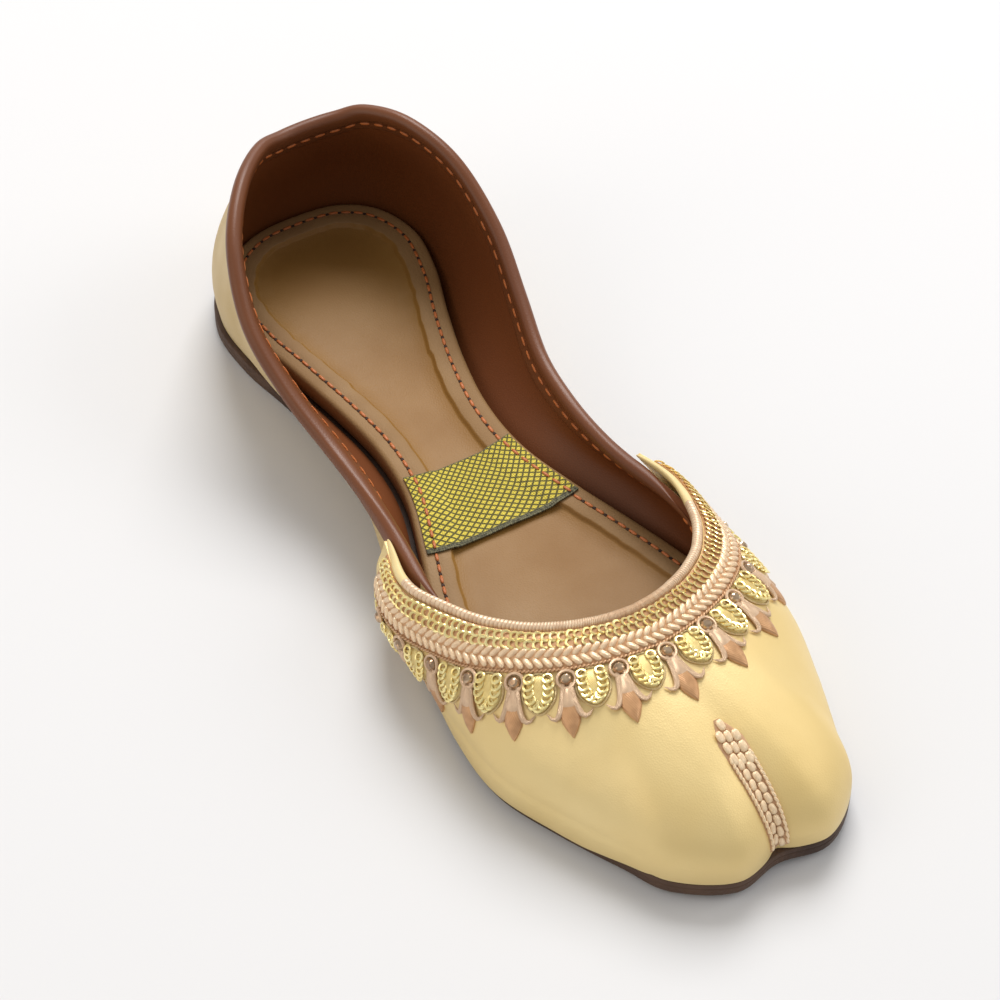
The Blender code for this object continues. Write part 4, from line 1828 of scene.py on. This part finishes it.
@dataclass
class Throat:
    """The embroidery round the throat: sequins, braid, cord, and a row of leaves and lilies."""

    last: Last
    skin: Skin
    line_steps: int = 360
    ends: tuple[float, float] = (0.02, 0.98)
    bed_drop: float = 0.0002
    bed_width: float = 0.0092
    bed_rise: float = 0.00045
    sequin_rows: tuple[float, float] = (0.0015, 0.0034)
    sequin_pitch: float = 0.0019
    sequin_radius: float = 0.00105
    sequin_wire: float = 0.00034
    sequin_tilt: float = 0.42
    sequin_turn: float = 0.35
    sequin_stray: float = 0.0002
    sequin_lift: float = 0.0008
    braid_middle: float = 0.0066
    braid_pitch: float = 0.0022
    braid_half: float = 0.00122
    braid_slant: float = -44.0
    bundle: tuple[float, float, float] = (0.0034, 0.0015, 0.0012)
    bundle_lift: float = 0.0007
    cord_row: float = 0.0096
    cord_pitch: float = 0.0010
    cord_slant: float = 28.0
    twist: tuple[float, float, float] = (0.0014, 0.0007, 0.0008)
    twist_lift: float = 0.0005
    stone_row: float = 0.0121
    stone_pitch: float = 0.0124
    stone_radius: float = 0.0017
    stone_lift: float = 0.0012
    ring_wire: float = 0.00045
    ring_lift: float = 0.0007
    bud_lift: float = 0.0002
    cup_lift: float = 0.0005
    sepal_lift: float = 0.0004
    leaf_row: float = 0.0148
    leaf_size: tuple[float, float] = (0.0076, 0.0091)
    leaf_height: float = 0.0009
    leaf_lift: float = 0.0002
    outline_size: tuple[float, float] = (0.0082, 0.0097)
    outline_height: float = 0.0042
    outline_lift: float = 0.0003
    edge_sequin_lift: float = 0.0011
    motifs: tuple[int, int] = (-6, 7)
    sequin_arm: tuple[tuple[float, float], ...] = (
        (0.0022, -0.0035),
        (0.0024, -0.0019),
        (0.0023, -0.0003),
        (0.0019, 0.0012),
        (0.0011, 0.0024),
    )
    sequin_foot: tuple[float, float] = (0.0, 0.0031)

    def line(self, drop: float, start: float = 0.0, stop: float = 1.0) -> list[Vector]:
        """Closely spaced points at a distance below the throat, from the right ear to the left.

        Args:
            drop: distance below the throat.
            start: share where the line starts.
            stop: share where it stops.

        Returns:
            The points.
        """
        points = []
        for index in range(self.line_steps + 1):
            side, position = self.last.front(start + (stop - start) * index / self.line_steps)
            t = self.last.row_at(side, position, drop, FINE_ROWS)
            points.append(self.last.outside(side, position, t))
        return points

    def row(self, drop: float, pitch: float, phase: float = 0.0) -> list[Spot]:
        """Evenly spaced spots in a row below the throat."""
        return spots_along(self.line(drop, *self.ends), pitch, self.skin.out, phase)

    def motif_spots(self, drop: float, shift: float) -> list[Spot]:
        """Spots of the hanging motifs at a row, counted from the middle of the toe.

        Args:
            drop: distance of the row below the throat.
            shift: share of a pitch that the motifs are moved towards the left ear.

        Returns:
            One spot for each motif, whose spacing is the stone row's.
        """
        lengths = travelled(self.line(self.stone_row))
        last_index = len(lengths) - 1
        middle = min(range(len(lengths)), key=lambda index: self.front_distance(index / last_index))
        row = self.line(drop)
        spots = []
        for number in range(self.motifs[0], self.motifs[1] + 1):
            target = lengths[middle] + (number + shift) * self.stone_pitch
            index = min(range(len(lengths)), key=lambda item: abs(lengths[item] - target))
            if 1 < index < last_index - 1:
                along = (row[index + 1] - row[index - 1]).normalized()
                spots.append(Spot.on_line(row[index], along, self.skin.out(row[index], along)))
        return spots

    def front_distance(self, share: float) -> float:
        """How far a place along the throat is from the middle of the toe, in stations."""
        _, position = self.last.front(share)
        return self.last.END - position

    def bed(self) -> None:
        """The padded strip that the sequins and the braid are sewn on."""
        start, stop = self.ends

        def place(u: float, v: float) -> Vector:
            """Lay a point of the strip, arched over its width.

            Args:
                u: share along.
                v: share across.

            Returns:
                The point.
            """
            side, position = self.last.front(start + (stop - start) * u)
            t = self.last.row_at(side, position, self.bed_drop + self.bed_width * v)
            rise = self.bed_rise * math.sin(math.pi * held(v)) ** 0.5 + 0.00004
            return self.last.outside(side, position, t, rise)

        piece = grid_piece("throat_bed", 220, 10, place, (0.17, self.bed_width))
        modify(piece, "SOLIDIFY", thickness=BED_THICKNESS, offset=-1.0)
        settle(piece, Finishes.BED, "throat_braid")

    def sequins(self) -> None:
        """Two staggered rows of small gold ring sequins beside the piping, each lying on the next."""
        flat = hoop(self.sequin_radius, self.sequin_wire, 0.7, 12, 5)
        ring = flat.shaped(lambda point: Vector((point.x, point.y, point.z + point.x * self.sequin_tilt)))
        spots = []
        chance = random.Random(5)
        for index, drop in enumerate(self.sequin_rows):
            for spot in self.row(drop, self.sequin_pitch, 0.5 * index):
                turn = chance.uniform(-self.sequin_turn, self.sequin_turn)
                x, y = (chance.uniform(-self.sequin_stray, self.sequin_stray) for _ in range(2))
                spots.append(spot.moved(x, y, turn))
        settle(scatter("throat_sequins", ring, spots, self.skin, self.sequin_lift), Finishes.SEQUIN)

    def braid(self) -> None:
        """The herringbone braid: slanted satin bundles in two rows that meet in a V."""
        spots = []
        for sign, phase in ((-1.0, 0.0), (1.0, 0.25)):
            row = self.row(self.braid_middle, self.braid_pitch, phase)
            turn = sign * math.radians(self.braid_slant)
            spots += [spot.moved(0.0, sign * self.braid_half, turn) for spot in row]
        bundle = capsule(*self.bundle)
        settle(scatter("throat_herringbone", bundle, spots, self.skin, self.bundle_lift), Finishes.BRAID)

    def cords(self) -> None:
        """The thin twisted cord below the braid."""
        turn = math.radians(self.cord_slant)
        spots = [spot.moved(0.0, 0.0, turn) for spot in self.row(self.cord_row, self.cord_pitch)]
        twist = capsule(*self.twist, 6, 5)
        settle(scatter("throat_cords", twist, spots, self.skin, self.twist_lift), Finishes.CORD)

    def build(self) -> None:
        """Make the band and the row of motifs below it."""
        self.bed()
        self.sequins()
        self.braid()
        self.cords()
        self.leaves()
        self.lilies()

    @staticmethod
    def drop_shape(width: float, length: float) -> Callable[[Vector], Vector]:
        """A function that turns a round template of radius one into a drop that hangs down.

        Args:
            width: its width.
            length: its length.

        Returns:
            The function.
        """

        def shape(point: Vector) -> Vector:
            """Draw a point in towards the drop's narrow end.

            Args:
                point: a point.

            Returns:
                The point.
            """
            angle = math.atan2(point.y, point.x)
            radius = math.hypot(point.x, point.y)
            taper = 1.0 - 0.30 * max(0.0, math.sin(angle)) ** 2
            across = math.cos(angle) * radius * width / 2.0 * taper
            return Vector((across, math.sin(angle) * radius * length / 2.0, point.z))

        return shape

    def leaves(self) -> None:
        """Padded drops of gold thread, outlined with cord and edged with ring sequins."""
        pad = ball(20, 10)
        edit(pad, lambda: bpy.ops.transform.resize(value=(1.0, 1.0, self.leaf_height)))
        leaf = Template.of(pad).shaped(self.drop_shape(*self.leaf_size)).mapped_flat()
        spots = self.motif_spots(self.leaf_row, 0.5)
        settle(scatter("leaf_pads", leaf, spots, self.skin, self.leaf_lift), Finishes.GOLD_THREAD)
        drop = self.drop_shape(*self.outline_size)
        outline = hoop(1.0, 0.06, 1.0, 28, 5)
        cord = outline.shaped(lambda point: drop(Vector((point.x, point.y, point.z * self.outline_height))))
        settle(scatter("leaf_outlines", cord, spots, self.skin, self.outline_lift), Finishes.LEAF_EDGE)
        flat = hoop(self.sequin_radius * 1.05, self.sequin_wire, 0.7, 12, 5)
        tilt = self.sequin_tilt * 0.8
        ring = flat.shaped(lambda point: Vector((point.x, point.y, point.z + point.y * tilt)))
        places = [(sign * x, y) for sign in (-1.0, 1.0) for x, y in self.sequin_arm] + [self.sequin_foot]
        rings = [spot.moved(x, y) for spot in spots for x, y in places]
        settle(scatter("leaf_sequins", ring, rings, self.skin, self.edge_sequin_lift), Finishes.SEQUIN)

    def stone(self) -> Template:
        """A low cut stone: a cone without its tip, with its edges broken.

        Returns:
            The stone.
        """
        deselect()
        radius = self.stone_radius
        bpy.ops.mesh.primitive_cone_add(vertices=8, radius1=radius, radius2=radius * 0.6, depth=radius * 0.8)
        cut = bpy.context.object
        edit(cut, lambda: bpy.ops.mesh.bevel(offset=radius * 0.2, segments=1, affect="EDGES"))
        return Template.of(cut)

    def lilies(self) -> None:
        """A stone in its thread ring with two curled sepals and a satin bud below it."""
        spots = self.motif_spots(self.stone_row, 0.0)
        stones = scatter("throat_stones", self.stone(), spots, self.skin, self.stone_lift)
        settle(stones, Finishes.STONE, angle=5.0)
        ring = hoop(self.stone_radius + self.ring_wire, self.ring_wire, 1.0, 16, 6)
        settle(scatter("stone_rings", ring, spots, self.skin, self.ring_lift), Finishes.PALE_THREAD)
        bulb = Template.of(ball(16, 12))
        bud = bulb.shaped(self.bud_shape).mapped_flat()
        settle(scatter("lily_buds", bud, spots, self.skin, self.bud_lift), Finishes.BUD_THREAD)
        cup = bulb.shaped(self.cup_shape).mapped_flat()
        settle(scatter("lily_cups", cup, spots, self.skin, self.cup_lift), Finishes.PALE_THREAD)
        pair = self.sepal(-1.0).joined(self.sepal(1.0))
        settle(scatter("lily_sepals", pair, spots, self.skin, self.sepal_lift), Finishes.PALE_THREAD)

    @staticmethod
    def breadth(point: Vector) -> float:
        """How far across a ball of radius one a point lies, as a share of the ball's width there."""
        return point.x / max(math.sqrt(max(1.0 - point.y ** 2, 0.0)), 0.05)

    @classmethod
    def bud_shape(cls, point: Vector) -> Vector:
        """Turn a ball of radius one into a bud that hangs from its stone and ends in a point.

        Args:
            point: a point.

        Returns:
            The moved point.
        """
        along = (point.y + 1.0) / 2.0
        shoulder = 0.52
        if along < shoulder:
            width = 0.0009 + 0.0017 * math.sin(math.pi / 2.0 * along / shoulder) ** 1.3
        else:
            width = 0.0026 * (1.0 - ((along - shoulder) / (1.0 - shoulder)) ** 1.9)
        return Vector((cls.breadth(point) * width, 0.0016 + 0.0124 * along, point.z * 0.0011))

    @classmethod
    def cup_shape(cls, point: Vector) -> Vector:
        """Turn a ball of radius one into the cup of a lily, between the stone and the bud.

        Args:
            point: a point.

        Returns:
            The moved point.
        """
        along = (point.y + 1.0) / 2.0
        end = math.sqrt(max(1.0 - max((along - 0.72) / 0.28, 0.0) ** 2, 0.0))
        width = (0.0008 + 0.0019 * along ** 1.2) * end
        across = cls.breadth(point)
        bottom = 0.0007 * abs(across) * along ** 3
        return Vector((across * width, 0.0014 + 0.0066 * along - bottom, point.z * 0.0010))

    @staticmethod
    def sepal(sign: float) -> Template:
        """One curled sepal: a flat roll that sweeps down from the stone and out to a fine tip.

        Args:
            sign: 1.0 or -1.0, for the side it curls to.

        Returns:
            The sepal.
        """
        deselect()
        bpy.ops.mesh.primitive_cylinder_add(vertices=10, radius=1.0, depth=1.0, end_fill_type="TRIFAN")
        piece = bpy.context.object
        edit(piece, lambda: bpy.ops.mesh.subdivide(number_cuts=7))

        def shape(point: Vector) -> Vector:
            """Lay a point of the cylinder along the sepal's curve, square to the curve's slope.

            Args:
                point: a point.

            Returns:
                The point.
            """
            along = point.z + 0.5
            x = 0.0009 + 0.0012 * along + 0.0035 * along ** 2.2
            y = 0.0010 + 0.0096 * math.sin(math.pi / 2.0 * along) - 0.0032 * along ** 5
            body = 0.0005 + 0.0009 * along * (1.0 - along)
            thick = body * math.sqrt(max(1.0 - along ** 3, 0.0)) + 0.00008
            slope_x = 0.0012 + 0.0077 * along ** 1.2
            slope_y = 0.01508 * math.cos(math.pi / 2.0 * along) - 0.0160 * along ** 4
            slope = math.atan2(slope_x, slope_y)
            across, rise = point.x * thick, (point.y + 0.6) * thick * 0.7
            return Vector((sign * (x + across * math.cos(slope)), y - across * math.sin(slope), rise))

        return Template.of(piece).shaped(shape)


@dataclass
class ToeSeam:
    """The embroidered seam down the middle of the toe: a bed, satin bricks and two rails."""

    last: Last
    skin: Skin
    start: float = 0.0318
    end_gap: float = 0.0020
    width: float = 0.0064
    bed_rise: float = 0.00035
    brick: float = 0.0030
    column: float = 0.0020
    brick_height: float = 0.0011
    brick_lift: float = 0.0006
    stagger: tuple[float, float, float] = (0.0026, 0.0002, 0.0036)
    row_share: float = 0.86
    row_half: float = 0.00108
    row_lean: float = 0.22
    row_scale: float = 0.95
    flame: float = 0.0110
    rail: tuple[float, float, float] = (0.0019, 0.0008, 0.0009)
    rail_pitch: float = 0.0013
    rail_start: float = 0.0010
    rail_lean: float = 0.25
    rail_lift: float = 0.0005

    def point(self, x: float, drop: float) -> Vector:
        """A point of the vamp at a distance beside the middle line and below the throat.

        Args:
            x: distance to the right of the middle line.
            drop: distance below the throat.

        Returns:
            The point.
        """
        toe = float(self.last.END)
        middle = self.last.outside(1.0, toe, self.last.row_at(1.0, toe, drop, FINE_ROWS))
        return middle + Vector((x, 0.0, 0.0))

    def spot(self, x: float, drop: float, turn: float = 0.0, scale: float = 1.0) -> Spot:
        """A spot on the seam, with its way across along X.

        Args:
            x: distance to the right of the middle line.
            drop: distance below the throat.
            turn: angle that it is turned by.
            scale: its size, 1.0 as modelled.

        Returns:
            The spot.
        """
        point = self.point(x, drop)
        ahead = self.point(x, drop + 0.001)
        found, normal, _, _ = self.skin.tree.find_nearest(point)
        across = (ahead - point).normalized().cross(normal).normalized()
        return Spot(found, across, normal.cross(across), 1.0).moved(0.0, 0.0, turn, scale)

    def bed(self, length: float) -> None:
        """The padded strip under the seam, drawn in at its upper end.

        Args:
            length: length of the seam.
        """

        def place(u: float, v: float) -> Vector:
            """Lay a point of the strip, arched over its width.

            Args:
                u: share along.
                v: share across.

            Returns:
                The point.
            """
            narrow = min(1.0, 0.22 + 4.5 * v)
            x = (u - 0.5) * (self.width + 0.0004) * narrow
            rise = self.bed_rise * math.sqrt(max(0.0, 1.0 - (2.0 * u - 1.0) ** 4))
            return self.skin.press(self.point(x, self.start + length * v), 0.00005 + rise)

        piece = grid_piece("seam_bed", 10, 60, place, (self.width, length))
        modify(piece, "SOLIDIFY", thickness=BED_THICKNESS, offset=-1.0)
        settle(piece, Finishes.SEAM_BED, "toe_seam")

    def bricks(self, length: float) -> None:
        """Three staggered columns of satin bricks like a flame, and two leaning rows below them.

        Args:
            length: length of the seam.
        """
        turn = math.pi / 2.0
        spots = []
        for stagger, column in zip(self.stagger, (-1, 0, 1)):
            drop = self.start + stagger + self.brick / 2.0
            while drop < self.start + self.flame:
                spots.append(self.spot(column * self.column * 0.96, drop, turn))
                drop += self.brick * 0.97
        for row in range(int((length - self.flame) / (self.brick * self.row_share))):
            drop = self.start + self.flame + 0.0006 + row * self.brick * self.row_share
            spots.append(self.spot(-self.row_half, drop, turn - self.row_lean, self.row_scale))
            drop += self.brick * self.row_share / 2.0
            spots.append(self.spot(self.row_half, drop, turn + self.row_lean, self.row_scale))
        brick = capsule(self.brick, self.column, self.brick_height, 10, 6)
        settle(scatter("seam_bricks", brick, spots, self.skin, self.brick_lift), Finishes.SEAM)

    def rails(self, length: float) -> None:
        """The row of small stitches down either side of the leaning rows.

        Args:
            length: length of the seam.
        """
        spots = []
        beside = self.width / 2.0 - 0.0003
        for sign in (-1.0, 1.0):
            for index in range(int((length - self.flame + self.rail_start) / self.rail_pitch)):
                drop = self.start + self.flame - self.rail_start + index * self.rail_pitch
                spots.append(self.spot(sign * beside, drop, math.pi / 2.0 + self.rail_lean * sign))
        rail = capsule(*self.rail, 6, 5)
        settle(scatter("seam_rails", rail, spots, self.skin, self.rail_lift), Finishes.SEAM)

    def build(self) -> None:
        """Make the bed, the bricks and the rails."""
        length = self.last.column_length(1.0, float(self.last.END)) - self.start - self.end_gap
        self.bed(length)
        self.bricks(length)
        self.rails(length)


@dataclass
class Label:
    """The woven ribbon sewn across the footbed, left bare."""

    last: Last
    sole: Sole
    inset: float = 0.0014
    start: float = 0.1085
    size: tuple[float, float] = (0.046, 0.0250)
    arch: float = 0.0026
    reach: float = 0.0100
    seat: float = 0.00018
    sink: float = 0.0006
    sink_reach: float = 0.003
    wave: float = 0.00012
    thickness: float = 0.0005

    def half_width(self, s: float) -> float:
        """Half width of the footbed at a length, found between two stations by halving.

        Args:
            s: length from the heel.

        Returns:
            The half width.
        """
        low, high = 2.0, 12.0
        for _ in range(24):
            middle = (low + high) / 2.0
            if self.sole.footbed_edge(1.0, middle)[0] < s:
                low = middle
            else:
                high = middle
        return self.sole.footbed_edge(1.0, low)[1]

    def point(self, u: float, v: float) -> Vector:
        """A point of the ribbon's underside, which follows the footbed's border and dish.

        Args:
            u: share along.
            v: share across.

        Returns:
            The point.
        """
        side = 2.0 * u - 1.0
        rough = self.start + self.size[1] * v
        half = self.half_width(rough) - self.inset
        from_edge = self.inset + half * (1.0 - abs(side))
        s = rough + self.arch * math.sqrt(min(from_edge / self.reach, 1.0))
        dip = self.sink * smooth(held((from_edge - self.sole.border) / self.sink_reach))
        ripple = self.wave * math.sin(u * 21.0) * math.sin(v * 5.0)
        return self.last.place(s, side * half, self.sole.footbed_top(s) + self.seat - dip + ripple)

    def build(self) -> None:
        """Make the ribbon."""
        piece = grid_piece("label_ribbon_cloth", 90, 24, self.point, self.size)
        modify(piece, "SOLIDIFY", thickness=self.thickness, offset=1.0)
        settle(piece, Finishes.RIBBON, "label_ribbon")


@dataclass(frozen=True)
class Lamp:
    """A soft square light that faces the shoe."""

    name: str
    place: tuple[float, float, float]
    size: float
    energy: float
    tint: Colour

    def build(self) -> None:
        """Hang the lamp and turn it to the shoe."""
        data = bpy.data.lights.new(self.name, "AREA")
        data.color = self.tint
        data.size = self.size
        data.energy = self.energy
        lamp = bpy.data.objects.new(self.name, data)
        bpy.context.scene.collection.objects.link(lamp)
        lamp.location = self.place
        shoe = Vector((0.0, 0.0, 0.02))
        lamp.rotation_euler = (Vector(self.place) - shoe).to_track_quat("Z", "Y").to_euler()


@dataclass
class Studio:
    """A plain pale floor, soft light and the photograph's camera, aimed at the one shoe."""

    location: tuple[float, float, float] = (-0.2221, -0.3738, 0.5016)
    aim: tuple[float, float, float] = (0.001, -0.003, 0.014)
    roll: float = 0.9
    lens: float = 91.7
    floor_tone: Colour = (0.72, 0.72, 0.73)
    air_tone: Colour = (1.0, 0.99, 0.98)
    air_strength: float = 0.48
    lamps: tuple[Lamp, ...] = (
        Lamp("key", (0.95, 1.35, 2.00), 1.40, 62.0, (1.0, 0.99, 0.98)),
        Lamp("side", (1.30, -0.50, 1.00), 0.90, 5.0, (1.0, 0.99, 0.97)),
        Lamp("fill", (-0.95, 0.05, 0.60), 0.8, 2.4, (1.0, 0.90, 0.76)),
    )

    def camera(self) -> None:
        """Stand the camera where the photograph was taken from."""
        data = bpy.data.cameras.new("camera")
        data.lens = self.lens
        data.sensor_width = 36.0
        data.clip_start = 0.05
        camera = bpy.data.objects.new("camera", data)
        bpy.context.scene.collection.objects.link(camera)
        bpy.context.scene.camera = camera
        back = (Vector(self.location) - Vector(self.aim)).normalized()
        level = RISE.cross(back).normalized()
        upright = back.cross(level)
        turn = math.radians(self.roll)
        right = level * math.cos(turn) + upright * math.sin(turn)
        above = upright * math.cos(turn) - level * math.sin(turn)
        facing = Matrix((right, above, back)).transposed().to_4x4()
        camera.matrix_world = Matrix.Translation(self.location) @ facing

    def floor(self) -> None:
        """Lay the pale floor."""
        deselect()
        bpy.ops.mesh.primitive_plane_add(size=6.0)
        floor = bpy.context.object
        floor.name = "studio_floor"
        material = bpy.data.materials.new("pale_floor")
        material.use_nodes = True
        shader = material.node_tree.nodes["Principled BSDF"]
        shader.inputs["Base Color"].default_value = (*self.floor_tone, 1.0)
        shader.inputs["Roughness"].default_value = 0.9
        floor.data.materials.append(material)

    def build(self) -> None:
        """Make the floor, the surroundings, the lights and the camera."""
        self.floor()
        world = bpy.data.worlds.new("studio_air")
        world.use_nodes = True
        air = world.node_tree.nodes["Background"]
        air.inputs["Color"].default_value = (*self.air_tone, 1.0)
        air.inputs["Strength"].default_value = self.air_strength
        bpy.context.scene.world = world
        bpy.context.scene.view_settings.view_transform = "Standard"
        for lamp in self.lamps:
            lamp.build()
        self.camera()


def main() -> None:
    """Load the frame, build each sub-assembly in order and report it."""
    logging.basicConfig(level=logging.INFO, format="%(message)s")
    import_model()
    last = Last()
    Studio().build()
    sole = Sole(last)
    sole.build()
    Upper(last).build()
    skin = Vamp(last).build()
    Throat(last, skin).build()
    ToeSeam(last, skin).build()
    Label(last, sole).build()


if __name__ == "__main__":
    main()
